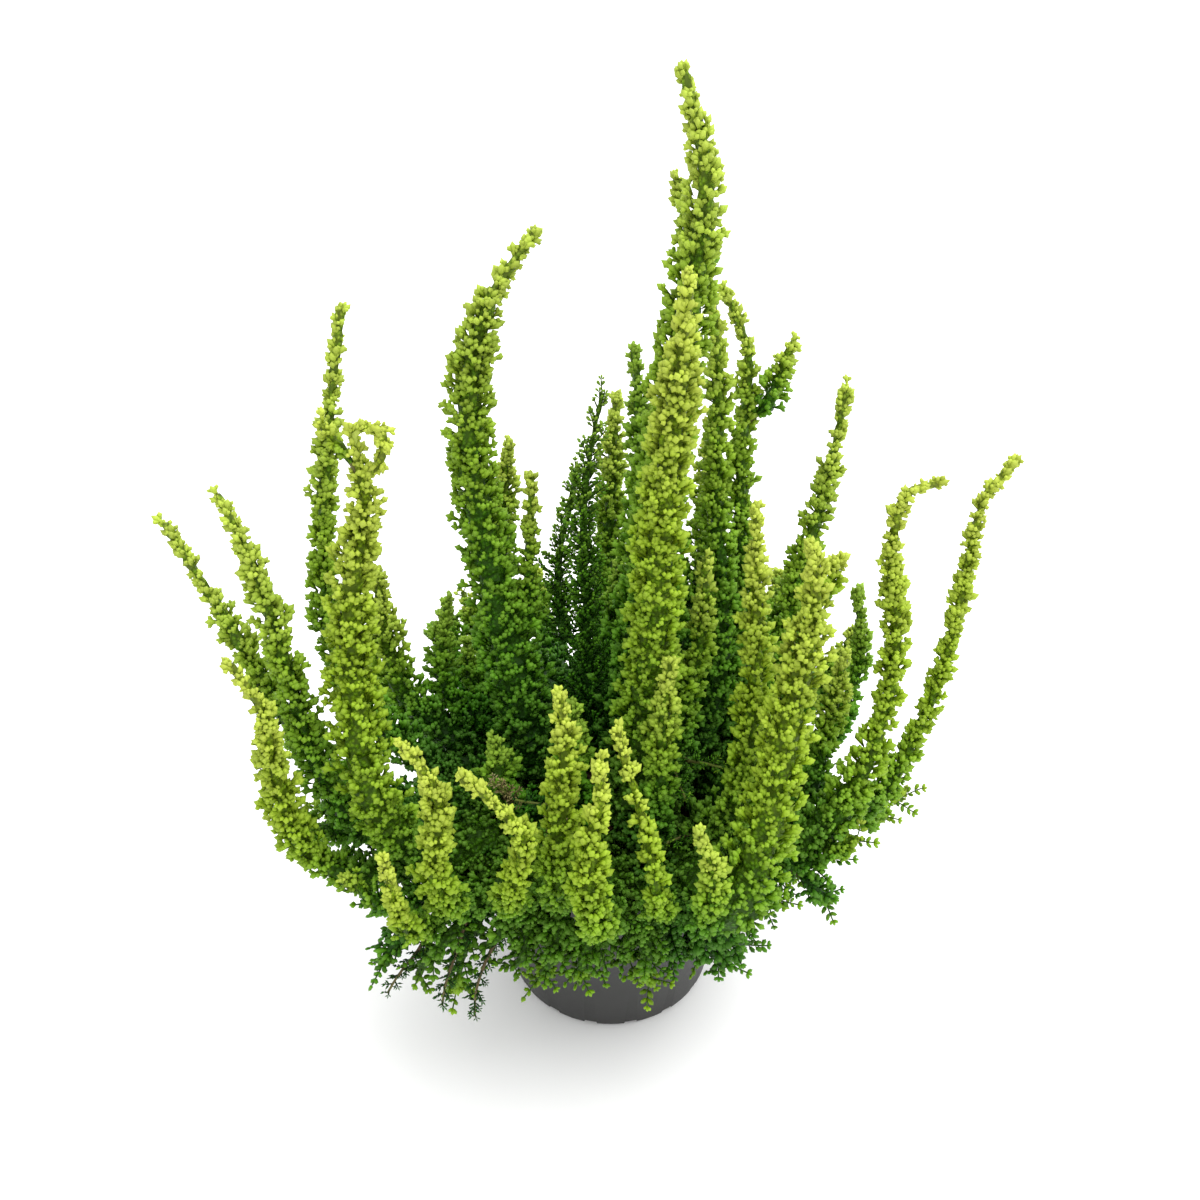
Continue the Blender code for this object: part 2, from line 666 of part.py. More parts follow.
def corner_lengths(branch):
    """Returns how far along a branch each corner of its core stands: they climb it in one spiral."""
    total = arc_lengths(branch.line)[-1] - END_LENGTH
    bare = bare_length(branch)
    here, places = 0.0, []
    while here < total:
        places.append(here)
        if here < bare:
            pitch = BARE_PITCH
        else:
            core = float(core_at(branch, np.array([here]))[0])
            pitch = SHOOT_PITCH + SHOOT_PITCH_PER_CORE * (core - CORE_TYPICAL)
        here += pitch / branch.sides
    return np.array(places) * total / places[-1]


def frames_along(line, lengths):
    """Returns the places, directions and two cross axes at distances along a line, without twist."""
    places = at_length(line, lengths)
    ahead = at_length(line, lengths + CLEARANCE_STEP)
    behind = at_length(line, lengths - CLEARANCE_STEP)
    forward = ahead - behind
    forward /= np.linalg.norm(forward, axis=1, keepdims=True)
    side = np.zeros_like(forward)
    last = np.array([1.0, 0.0, 0.0])
    for k, direction in enumerate(forward):
        last = last - direction * (last @ direction)
        last /= np.linalg.norm(last)
        side[k] = last
    return places, forward, side, np.cross(forward, side)


class Clearance:
    """Knows all centrelines, and how far out from its own one a corner may stand."""

    def __init__(self, branches):
        lines = [evenly(branch.line, CLEARANCE_STEP) for branch in branches]
        self.points = np.concatenate(lines)
        self.owners = np.repeat([branch.family for branch in branches], [len(line) for line in lines])

    def nearest(self, places, chosen):
        """Returns the distance from each place to the nearest chosen centreline point."""
        near = self.points[chosen]
        square = (places ** 2).sum(axis=1)[:, None] + (near ** 2).sum(axis=1)[None]
        return np.sqrt(np.maximum(square - 2 * places @ near.T, 0).min(axis=1))

    def fouls(self, places, family):
        """Returns which places are too near another stem, the pot or the soil."""
        own = self.nearest(places, self.owners == family)
        other = self.nearest(places, self.owners != family)
        reach = np.linalg.norm(places[:, :2], axis=1)
        height = places[:, 2]
        wall = POT_FOOT_RADIUS + (BODY_TOP_RADIUS + STEP_OUT - POT_FOOT_RADIUS) * height / STEP_HEIGHT
        wall = np.where(height > POT_HEIGHT - RIM_DEPTH - RIM_APPROACH, POT_TOP_RADIUS, wall + STEP_OUT)
        soil_top = SOIL_LEVEL + SOIL_CROWN + SOIL_LUMP + WALL_GAP
        in_soil = (reach < WALL_ZONE) & (height < soil_top)
        in_wall = (reach >= WALL_ZONE) & (reach < wall + WALL_GAP) & (height < POT_HEIGHT + WALL_GAP)
        return (other - own < FAMILY_GAP) | in_soil | in_wall

    def pull_in(self, places, centres, family):
        """Returns places moved towards their centres as far as it takes to be clear."""
        share = np.ones(len(places))
        for step in PULL_STEPS:
            here = centres + (places - centres) * share[:, None]
            share = np.where(self.fouls(here, family), step, share)
        return centres + (places - centres) * share[:, None]


def core_corners(branch, lengths, frames, clearance):
    """Returns the corners of a branch's core along its spiral, held clear of its neighbours."""
    centres, _, side, across = frames
    turns = np.arange(len(lengths)) * (math.tau / branch.sides + SPIRAL_DRIFT)
    spokes = np.cos(turns)[:, None] * side + np.sin(turns)[:, None] * across
    corners = centres + spokes * core_at(branch, lengths)[:, None]
    leafy = lengths > bare_length(branch)
    held = clearance.pull_in(corners[leafy], centres[leafy], branch.family)
    radius = np.linalg.norm(held - centres[leafy], axis=1)
    corners[leafy] = centres[leafy] + spokes[leafy] * np.maximum(radius, LEAST_CORE)[:, None]
    return corners


def shoot_tips(branch, lengths, frames, corners, clearance, draw):
    """Returns the tip of the side shoot on each face of the core, leaning up along the branch."""
    centres, forward, _, _ = frames
    bare = bare_length(branch)
    count = len(corners) - branch.sides - 1
    around = [0, 1, branch.sides + 1, branch.sides]
    bases = sum(corners[n:n + count] for n in around) / len(around)
    ahead = forward[:count]
    outward = bases - sum(centres[n:n + count] for n in around) / len(around)
    outward = outward - ahead * (outward * ahead).sum(axis=1, keepdims=True)
    outward /= np.maximum(np.linalg.norm(outward, axis=1, keepdims=True), 1e-6)
    middle = sum(lengths[n:n + count] for n in around) / len(around)
    share = np.clip((middle - bare) / (lengths[-1] - bare), 0, 1)
    reach = (1 - CORE_SHARE) * width_at(branch, share) / math.cos(SHOOT_LEAN)
    spread = np.array([draw.uniform(*SHOOT_SPREAD) for _ in range(count)])
    lean = outward * math.cos(SHOOT_LEAN) + ahead * math.sin(SHOOT_LEAN)
    tips = bases + lean * (reach * spread)[:, None]
    return clearance.pull_in(tips, bases, branch.family)


def build_branch(branch, clearance, draw):
    """Returns one branch as a closed bmesh: its core, with a side shoot raised from each leafy face.

    The corners climb anticlockwise about the branch, so each face made in their order points out.
    """
    lengths = corner_lengths(branch)
    frames = frames_along(branch.line, lengths)
    corners = core_corners(branch, lengths, frames, clearance)
    tips = shoot_tips(branch, lengths, frames, corners, clearance, draw)
    sides = branch.sides
    bm = bmesh.new()
    core = [bm.verts.new(place) for place in corners]
    bm.faces.new(core[:sides + 1][::-1])
    for k, place in enumerate(tips):
        around = [core[k], core[k + 1], core[k + sides + 1], core[k + sides]]
        if lengths[k] < bare_length(branch):
            bm.faces.new(around)
            continue
        tip = bm.verts.new(place)
        for a, b in zip(around, around[1:] + around[:1]):
            bm.faces.new((a, b, tip))
    end = bm.verts.new(frames[0][-1] + frames[1][-1] * END_LENGTH)
    last = core[-sides - 1:]
    for a, b in zip(last, last[1:] + last[:1]):
        bm.faces.new((a, b, end))
    return bm


def build_stems(branches, draw):
    """Makes each stem, with its sprays joined to it as one solid."""
    clearance = Clearance(branches)
    names = list(STEMS)
    for branch in branches:
        name = names[branch.family]
        material = bpy.data.materials["foliage_" + STEMS[name].tint]
        bm = build_branch(branch, clearance, draw)
        if branch.parent < 0:
            add_object(name, bm, material)
            continue
        spray = add_object(name + "_spray", bm, material)
        apply_boolean(bpy.data.objects[name], spray, "UNION", "MANIFOLD")


def main():
    """Builds the pot, the soil and the stems."""
    clear_scene()
    draw = random.Random(SEED)
    make_material("moulded_plastic", (0.022, 0.023, 0.024, 1.0), 0.55)
    make_material("potting_soil", (0.035, 0.022, 0.014, 1.0), 0.95)
    for tint, colour in TINTS.items():
        make_material("foliage_" + tint, colour, 0.6)
    feet = spread_feet(STEMS.values())
    build_pot()
    build_soil(feet, draw)
    branches = all_branches(STEMS.values(), feet)
    bend_clear(branches)
    build_stems(branches, draw)


main()
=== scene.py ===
"""A potted heather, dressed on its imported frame: a moulded pot, the peat in it and its leafy stems.

The stems are drawn along the same routes as the solids that they stand for. Lengths in the classes are
millimetres, and MM turns them to metres where a mesh or a tree's input is set. +Z is up and the origin
is the middle of the pot's foot. -Y is the side that the plant is looked at from.
"""

from __future__ import annotations

import json
import logging
import math
from dataclasses import dataclass, field
from enum import Enum
from typing import Any, Iterable, Sequence

import bmesh
import bpy
import numpy as np
from mathutils import Matrix, Vector, noise

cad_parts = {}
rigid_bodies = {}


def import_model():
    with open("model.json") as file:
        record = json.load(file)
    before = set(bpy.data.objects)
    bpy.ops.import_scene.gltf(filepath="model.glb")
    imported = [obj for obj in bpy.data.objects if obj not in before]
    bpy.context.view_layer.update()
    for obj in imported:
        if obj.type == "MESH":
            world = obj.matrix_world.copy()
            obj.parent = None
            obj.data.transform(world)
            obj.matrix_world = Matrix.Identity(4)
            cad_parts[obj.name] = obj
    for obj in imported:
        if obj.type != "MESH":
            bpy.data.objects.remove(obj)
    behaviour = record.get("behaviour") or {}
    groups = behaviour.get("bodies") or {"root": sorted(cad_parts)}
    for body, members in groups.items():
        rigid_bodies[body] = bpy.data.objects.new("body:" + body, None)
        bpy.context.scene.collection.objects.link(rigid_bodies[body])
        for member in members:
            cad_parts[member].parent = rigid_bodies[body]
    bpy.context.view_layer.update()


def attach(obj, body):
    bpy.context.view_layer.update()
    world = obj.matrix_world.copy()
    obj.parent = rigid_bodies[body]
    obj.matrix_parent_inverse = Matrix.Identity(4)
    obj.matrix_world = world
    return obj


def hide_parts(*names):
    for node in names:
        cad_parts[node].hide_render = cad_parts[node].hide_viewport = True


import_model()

MM = 0.001
SEED = 23
GOLDEN_ANGLE = math.radians(137.5)
BODY = "root"

# What stands for a foot's distance from itself, and for nought where something is divided by it
FAR = 1e3
TINY = 1e-6

# Short names for the kinds of node that come up most
MATH = "ShaderNodeMath"
VECTOR = "ShaderNodeVectorMath"
RANGE = "ShaderNodeMapRange"
NOISE = "ShaderNodeTexNoise"
BUMP = "ShaderNodeBump"
MIX = "ShaderNodeMix"
COMBINE = "ShaderNodeCombineXYZ"
SEPARATE = "ShaderNodeSeparateXYZ"
READ = "GeometryNodeInputNamedAttribute"
STORE = "GeometryNodeStoreNamedAttribute"
POSITION = "GeometryNodeInputPosition"
RESAMPLE = "GeometryNodeResampleCurve"
INSTANCE = "GeometryNodeInstanceOnPoints"
REALIZE = "GeometryNodeRealizeInstances"
DRESS = "GeometryNodeSetMaterial"
LOT = "FunctionNodeRandomValue"
COMPARE = "FunctionNodeCompare"
TURN = "FunctionNodeRotateRotation"

logging.basicConfig(level=logging.INFO, format="%(levelname)s %(message)s")
log = logging.getLogger("heather")


# Helpers

def linear(colour: str) -> tuple[float, float, float, float]:
    """Returns a colour in linear light.

    Args:
        colour: an sRGB colour as "#RRGGBB".

    Returns:
        Its red, green and blue in linear light, and an alpha of 1.
    """
    parts = [int(colour[k:k + 2], 16) / 255 for k in (1, 3, 5)]
    red, green, blue = [p / 12.92 if p <= 0.04045 else ((p + 0.055) / 1.055) ** 2.4 for p in parts]
    return red, green, blue, 1.0


def socket_of(sockets: Iterable[Any], key: int | str) -> Any:
    """Returns the socket in use that has a name, or a place in the row of those in use."""
    live = [socket for socket in sockets if socket.enabled]
    return live[key] if isinstance(key, int) else next(s for s in live if s.name == key)


def output(node: bpy.types.Node, key: int | str = 0) -> Any:
    """Returns a node's output that has a name, or a place in the row of those in use."""
    return socket_of(node.outputs, key)


def feed(tree: bpy.types.NodeTree, node: bpy.types.Node, links: dict[int | str, Any]) -> None:
    """Sets a node's inputs.

    Args:
        tree: the tree that the node is in.
        node: the node.
        links: for each input, by name or place, a number, a node or a socket to take it from.
    """
    for key, value in links.items():
        socket = socket_of(node.inputs, key)
        if isinstance(value, bpy.types.Node):
            tree.links.new(output(value), socket)
        elif isinstance(value, bpy.types.NodeSocket):
            tree.links.new(value, socket)
        else:
            socket.default_value = value


def add(tree: bpy.types.NodeTree, kind: str, links: dict[int | str, Any] | None = None,
        **settings: Any) -> bpy.types.Node:
    """Adds a node to a tree.

    Args:
        tree: the shader or geometry tree.
        kind: Blender's name for the kind of node.
        links: what its inputs are set to, as for feed.
        settings: the node's own options.

    Returns:
        The new node.
    """
    node = tree.nodes.new(kind)
    for name, value in settings.items():
        setattr(node, name, value)
    feed(tree, node, links or {})
    return node


def fill_ramp(node: bpy.types.Node, stops: Sequence[tuple[float, str]]) -> None:
    """Sets a colour ramp's stops.

    Args:
        node: the colour ramp.
        stops: for each stop its place from 0 to 1 and its sRGB colour.
    """
    elements = node.color_ramp.elements
    while len(elements) < len(stops):
        elements.new(1.0)
    for element, (place, colour) in zip(elements, stops):
        element.position = place
        element.color = linear(colour)


def new_object(name: str, data: bpy.types.ID) -> bpy.types.Object:
    """Puts something in the scene as a new object at the origin.

    Args:
        name: the object's name.
        data: its mesh, camera or light.

    Returns:
        The object.
    """
    thing = bpy.data.objects.new(name, data)
    bpy.context.scene.collection.objects.link(thing)
    return thing


def from_bmesh(name: str, bm: bmesh.types.BMesh) -> bpy.types.Object:
    """Turns a bmesh in millimetres to an object in metres.

    Args:
        name: the object's name.
        bm: the bmesh, which is freed.

    Returns:
        The object.
    """
    bmesh.ops.scale(bm, vec=(MM, MM, MM), verts=bm.verts)
    bmesh.ops.recalc_face_normals(bm, faces=bm.faces)
    mesh = bpy.data.meshes.new(name)
    bm.to_mesh(mesh)
    bm.free()
    return new_object(name, mesh)


def grow(thing: bpy.types.Object, tree: bpy.types.NodeTree, values: dict[str, Any]) -> None:
    """Runs a geometry tree on an object and keeps the result as its plain mesh.

    Args:
        thing: the object that the tree starts from.
        tree: the geometry tree.
        values: what each of the tree's named inputs is set to.
    """
    modifier = thing.modifiers.new("grow", "NODES")
    modifier.node_group = tree
    identifiers = {s.name: s.identifier for s in tree.interface.items_tree if s.in_out == "INPUT"}
    for name, value in values.items():
        modifier[identifiers[name]] = value
    graph = bpy.context.evaluated_depsgraph_get()
    mesh = bpy.data.meshes.new_from_object(
        thing.evaluated_get(graph), preserve_all_data_layers=True, depsgraph=graph)
    thing.modifiers.clear()
    thing.data = mesh


def new_tree(name: str, inputs: Sequence[tuple[str, str]]) -> tuple[bpy.types.NodeTree, dict[str, Any]]:
    """Makes a geometry tree that takes a geometry and the named inputs, and gives a geometry.

    Args:
        name: the tree's name.
        inputs: for each further input its name and kind of socket.

    Returns:
        The tree, and the sockets that its inputs are read from, by name.
    """
    tree = bpy.data.node_groups.new(name, "GeometryNodeTree")
    tree.interface.new_socket("Geometry", in_out="INPUT", socket_type="NodeSocketGeometry")
    for label, kind in inputs:
        tree.interface.new_socket(label, in_out="INPUT", socket_type="NodeSocket" + kind)
    tree.interface.new_socket("Geometry", in_out="OUTPUT", socket_type="NodeSocketGeometry")
    return tree, {socket.name: socket for socket in add(tree, "NodeGroupInput").outputs}


def new_material(name: str) -> tuple[bpy.types.Material, bpy.types.NodeTree, bpy.types.Node]:
    """Makes a material.

    Args:
        name: the material's name.

    Returns:
        The material, its tree and its Principled shader.
    """
    material = bpy.data.materials.new(name)
    material.use_nodes = True
    tree = material.node_tree
    return material, tree, tree.nodes["Principled BSDF"]


# Finishes

class Tint(Enum):
    """How far leaves have turned: fresh lime, green, an old spray's dark green, an old stem's green, dry."""

    LIME = "lime"
    GREEN = "green"
    DARK = "dark"
    OLD = "old"
    DRY = "dry"


@dataclass(frozen=True)
class LeafFinish:
    """The scale leaves of a heather: a waxy skin over soft green flesh, paler where they are young."""

    name: str
    stops: tuple[tuple[float, str], ...]
    pale: str
    shade_loss: float = 0.32
    # Painted shade, partly older leaves: the ramp's shift from deep in a stem out to the ends of its shoots
    depth_age_and_shade: tuple[float, float] = (-0.15, 0.1)
    shoot_spread: float = 0.13
    # The ends of the leaves turn pale: partly young growth, partly a painted highlight
    pale_from: float = 0.3
    tip_paleness_and_highlight: float = 0.12
    brightness: tuple[float, float] = (0.64, 0.96)
    # Painted shade deep in a stem: the brightness of its cells and of the dark gaps between them
    painted_depth_shade: tuple[float, float] = (0.9, 0.3)
    scale_leaf: float = 1.7
    scale_edge: tuple[float, float] = (0.15, 0.65)
    relief: float = 0.9
    roughness: float = 0.6
    ior: float = 1.42
    sheen_share: float = 0.22

    def material(self) -> bpy.types.Material:
        """Makes the material. Its colour follows the stem's age and shade, the shoot and the leaf.

        Deep in a stem the leaves are darker, partly as older leaves and partly as painted shade, and the
        ends of leaves are paler, partly as young growth and partly as a painted highlight. Deep in a stem
        small cells stand for the scale leaves there, dimmed, with painted shade in the dark gaps between
        them.

        Returns:
            The material.
        """
        material, tree, shader = new_material(self.name)
        of = {name: output(add(tree, "ShaderNodeAttribute", attribute_name=name), "Fac")
              for name in ("age", "shade", "out", "shoot_seed", "leaf_seed", "tip")}
        # The ramp's place: the age, lowered by painted shade where crowded and deep in a stem (partly older
        # leaves there), and varied by shoot
        youth_and_shade = of["age"]
        for name, low, high in (("shade", 0.0, -self.shade_loss), ("out", *self.depth_age_and_shade),
                                ("shoot_seed", -self.shoot_spread, self.shoot_spread)):
            step = add(tree, RANGE, {"Value": of[name], "To Min": low, "To Max": high})
            youth_and_shade = add(tree, MATH, {0: youth_and_shade, 1: step}, operation="ADD")
        ramp = add(tree, "ShaderNodeValToRGB", {"Fac": youth_and_shade})
        fill_ramp(ramp, self.stops)
        # Paler leaf ends: partly young growth, partly a painted highlight
        pale = add(tree, RANGE, {"Value": of["tip"], "From Min": self.pale_from, "To Max": self.tip_paleness_and_highlight})
        mixed = add(tree, MIX, {"Factor": pale, "A": ramp, "B": linear(self.pale)}, data_type="RGBA")
        dim, bright = self.brightness
        value = add(tree, RANGE, {"Value": of["leaf_seed"], "To Min": dim, "To Max": bright})
        place = output(add(tree, "ShaderNodeTexCoord"), "Object")
        # Deep in a stem: cells for the scale leaves, dimmed as painted shade, with painted shade in the gaps
        # between them; the cells also give the relief
        cells = add(tree, "ShaderNodeTexVoronoi", {"Vector": place, "Scale": 1 / (self.scale_leaf * MM)})
        scale, gap = self.painted_depth_shade
        middle, edge = self.scale_edge
        cell_relief_and_gap_shade = add(tree, RANGE, {
            "Value": cells, "From Min": middle, "From Max": edge, "To Min": scale, "To Max": gap})
        deep = add(tree, RANGE, {"Value": of["out"], "To Min": cell_relief_and_gap_shade, "To Max": 1.0})
        inside = add(tree, RANGE, {"Value": of["out"], "To Min": 1.0, "To Max": 0.0})
        bump = add(tree, BUMP, {"Strength": inside, "Height": cell_relief_and_gap_shade, "Distance": self.relief * MM})
        value = add(tree, MATH, {0: value, 1: deep}, operation="MULTIPLY")
        final = add(tree, "ShaderNodeHueSaturation", {"Value": value, "Color": mixed})
        feed(tree, shader, {
            "Base Color": final, "Normal": bump, "Roughness": self.roughness, "IOR": self.ior,
            "Specular IOR Level": self.sheen_share})
        return material


@dataclass(frozen=True)
class BarkFinish:
    """The skin of a stem: grey-brown and fibrous at the foot, soft and green where it has just grown."""

    name: str = "heather_bark"
    stops: tuple[tuple[float, str], ...] = (
        (0.0, "#4A3626"), (0.25, "#54482A"), (0.6, "#5E6E20"), (0.88, "#94A63A"), (1.0, "#C0CA66"))
    fibre: float = 0.5
    fibre_stretch: float = 0.12
    fibre_detail: float = 3.0
    contrast: tuple[float, float] = (0.6, 1.4)
    relief: float = 0.1
    roughness: float = 0.8
    ior: float = 1.45

    def material(self) -> bpy.types.Material:
        """Makes the material. Streaks along the stem make the bark look stringy where it is old.

        Returns:
            The material.
        """
        material, tree, shader = new_material(self.name)
        age = add(tree, "ShaderNodeAttribute", attribute_name="age")
        ramp = add(tree, "ShaderNodeValToRGB", {"Fac": output(age, "Fac")})
        fill_ramp(ramp, self.stops)
        place = add(tree, "ShaderNodeTexCoord")
        streaked = add(tree, "ShaderNodeMapping", {
            "Vector": output(place, "Object"), "Scale": (1.0, 1.0, self.fibre_stretch)})
        fibres = add(tree, NOISE, {
            "Vector": streaked, "Scale": 1 / (self.fibre * MM), "Detail": self.fibre_detail})
        least, most = self.contrast
        bright = add(tree, RANGE, {"Value": fibres, "To Min": least, "To Max": most})
        final = add(tree, "ShaderNodeHueSaturation", {"Value": bright, "Color": ramp})
        bump = add(tree, BUMP, {"Height": fibres, "Distance": self.relief * MM})
        feed(tree, shader, {
            "Base Color": final, "Normal": bump, "Roughness": self.roughness, "IOR": self.ior})
        return material


@dataclass(frozen=True)
class PotFinish:
    """Injection-moulded polypropylene: dark grey, matt, faintly cloudy as a thin recycled wall is."""

    name: str = "moulded_polypropylene"
    dark: str = "#20201F"
    light: str = "#2C2C2A"
    cloud: float = 18.0
    cloud_detail: float = 5.0
    grain: float = 0.35
    grain_detail: float = 2.0
    relief: float = 0.05
    roughness: tuple[float, float] = (0.5, 0.68)
    ior: float = 1.49

    def material(self) -> bpy.types.Material:
        """Makes the material. Its grain breaks the highlight up and its clouds vary the grey a little.

        Returns:
            The material.
        """
        material, tree, shader = new_material(self.name)
        place = output(add(tree, "ShaderNodeTexCoord"), "Object")
        clouds, grain = (
            add(tree, NOISE, {"Vector": place, "Scale": 1 / (size * MM), "Detail": detail})
            for size, detail in ((self.cloud, self.cloud_detail), (self.grain, self.grain_detail)))
        grey = add(tree, MIX, {
            "Factor": clouds, "A": linear(self.dark), "B": linear(self.light)}, data_type="RGBA")
        low, high = self.roughness
        rough = add(tree, RANGE, {"Value": clouds, "To Min": low, "To Max": high})
        bump = add(tree, BUMP, {"Height": grain, "Distance": self.relief * MM})
        feed(tree, shader, {"Base Color": grey, "Normal": bump, "Roughness": rough, "IOR": self.ior})
        return material


@dataclass(frozen=True)
class SoilFinish:
    """What lies in the pot, from damp peat to dry bark and chalky perlite: rough, dull and speckled."""

    name: str
    dark: str
    light: str
    speck: float = 1.4
    speck_detail: float = 6.0
    speck_range: tuple[float, float] = (0.35, 0.7)
    relief: float = 0.5
    roughness: float = 0.95
    ior: float = 1.4

    def material(self) -> bpy.types.Material:
        """Makes the material. Its specks are small enough to read as crumbs and fibres.

        Returns:
            The material.
        """
        material, tree, shader = new_material(self.name)
        place = output(add(tree, "ShaderNodeTexCoord"), "Object")
        specks = add(tree, NOISE, {
            "Vector": place, "Scale": 1 / (self.speck * MM), "Detail": self.speck_detail})
        least, most = self.speck_range
        sharper = add(tree, RANGE, {"Value": specks, "From Min": least, "From Max": most})
        brown = add(tree, MIX, {
            "Factor": sharper, "A": linear(self.dark), "B": linear(self.light)}, data_type="RGBA")
        bump = add(tree, BUMP, {"Height": specks, "Distance": self.relief * MM})
        feed(tree, shader, {
            "Base Color": brown, "Normal": bump, "Roughness": self.roughness, "IOR": self.ior})
        return material


PEAT = SoilFinish("potting_peat", "#1C130C", "#46341F")
BARK_CHIP = SoilFinish("composted_bark", "#3A2616", "#7A5C3C", speck=0.8, relief=0.2)
PERLITE = SoilFinish("expanded_perlite", "#B9B6AC", "#E9E7DF", speck=0.7, relief=0.15)
LEAF_FINISHES = {
    Tint.LIME: LeafFinish(
        "heather_leaf_lime",
        ((0.0, "#4C800A"), (0.3, "#6F9A0C"), (0.7, "#8EAC18"), (1.0, "#AEBE40")), "#C4CE84",
        brightness=(0.74, 1.04)),
    Tint.GREEN: LeafFinish(
        "heather_leaf_green",
        ((0.0, "#346E0A"), (0.35, "#528C0E"), (0.75, "#7EA21A"), (1.0, "#A8BC40")), "#B6C476",
        brightness=(0.72, 1.04)),
    Tint.DARK: LeafFinish(
        "heather_leaf_dark",
        ((0.0, "#22580C"), (0.5, "#38701A"), (0.85, "#548A28"), (1.0, "#78A040")), "#749C48"),
    Tint.OLD: LeafFinish(
        "heather_leaf_old",
        ((0.0, "#2C6C08"), (0.3, "#44840E"), (0.7, "#64981A"), (1.0, "#8AAC34")), "#84A63C",
        shade_loss=0.2),
    Tint.DRY: LeafFinish(
        "heather_leaf_dry",
        ((0.0, "#6E6238"), (0.5, "#9A8E5C"), (1.0, "#B9B48A")), "#C2BE98",
        shade_loss=0.1, painted_depth_shade=(1.0, 0.8)),
}


# Pot

@dataclass(frozen=True)
class PotShape:
    """The pot's sizes: a thin tapered wall with a stacking step, a turned-out rim and drain slots."""

    height: float = 100.0
    top_radius: float = 65.0
    foot_radius: float = 45.0
    wall: float = 1.2
    floor: float = 1.4
    foot_round: float = 1.6
    step_height: float = 79.0
    step_out: float = 1.5
    step_rise: float = 1.8
    body_top_radius: float = 59.5
    rim_depth: float = 6.5
    rim_out: float = 2.6
    rim_round: float = 0.7

    def outer(self, height: float) -> float:
        """Gives the outer radius, leaving out the rim.

        Args:
            height: the height above the table.

        Returns:
            The radius at that height.
        """
        slope = (self.body_top_radius - self.foot_radius) / self.step_height
        radius = self.foot_radius + slope * min(height, self.step_height)
        if height > self.step_height:
            over = height - self.step_height
            radius += self.step_out * min(1.0, over / self.step_rise)
            share = max(0.0, over - self.step_rise) / (self.height - self.step_height - self.step_rise)
            radius += share * (self.top_radius - self.rim_out - self.body_top_radius - self.step_out)
        return radius

    def inner(self, height: float) -> float:
        """Returns the radius of the inside at a height."""
        return self.outer(max(0.0, height - self.wall / 2)) - self.wall

    def profile(self) -> list[tuple[float, float]]:
        """Draws the wall's outline, from the axis under the foot round the rim and back to the axis.

        Returns:
            The outline as (radius, height) points.
        """
        low, top = self.height - self.rim_depth, self.height
        step = self.step_height + self.step_rise
        return [
            (0, 0),
            (self.foot_radius - self.foot_round, 0),
            (self.outer(self.foot_round), self.foot_round),
            (self.outer(self.step_height), self.step_height),
            (self.outer(step), step),
            (self.outer(low), low),
            (self.top_radius, low + self.rim_round),
            (self.top_radius, top - self.rim_round),
            (self.top_radius - self.rim_round, top),
            (self.inner(top) + self.rim_round, top),
            (self.inner(top - self.rim_round), top - self.rim_round),
            (self.inner(step + self.wall / 2), step + self.wall / 2),
            (self.inner(self.step_height + self.wall / 2), self.step_height + self.wall / 2),
            (self.inner(self.floor + self.foot_round), self.floor + self.foot_round),
            (self.inner(self.floor) - self.foot_round, self.floor),
            (0, self.floor),
        ]


POT = PotShape()


def turned(profile: Sequence[tuple[float, float]], sides: int) -> bmesh.types.BMesh:
    """Turns an outline round the axis to a closed body.

    Args:
        profile: (radius, height) points, the first and the last of them on the axis.
        sides: how many sides a turn has.

    Returns:
        The body as a bmesh.
    """
    bm = bmesh.new()
    rings = []
    for radius, height in profile:
        if radius == 0:
            rings.append([bm.verts.new((0, 0, height))])
            continue
        turns = [math.tau * k / sides for k in range(sides)]
        rings.append([bm.verts.new((radius * math.cos(a), radius * math.sin(a), height)) for a in turns])
    for low, high in zip(rings, rings[1:]):
        for k in range(sides):
            corners = [low[k % len(low)], low[(k + 1) % len(low)],
                       high[(k + 1) % len(high)], high[k % len(high)]]
            bm.faces.new(list(dict.fromkeys(corners)))
    return bm


def rounded(profile: Sequence[tuple[float, float]], radius: float, steps: int,
            most: float = 0.45) -> list[tuple[float, float]]:
    """Rounds the corners of an outline.

    Args:
        profile: the outline's points; the first and the last are kept as they are.
        radius: how far from a corner its rounding starts, if its two edges are long enough.
        steps: how many edges each rounding has.
        most: the largest share of an edge that a rounding takes.

    Returns:
        The points of the rounded outline.
    """
    smooth = [profile[0]]
    for before, corner, after in zip(profile, profile[1:], profile[2:]):
        here, ends = Vector(corner), []
        for other in (before, after):
            way = Vector(other) - here
            ends.append(here + way * min(most, radius / way.length))
        for k in range(steps + 1):
            share = k / steps
            first, second = ends[0].lerp(here, share), here.lerp(ends[1], share)
            smooth.append(tuple(first.lerp(second, share)))
    return smooth + [profile[-1]]


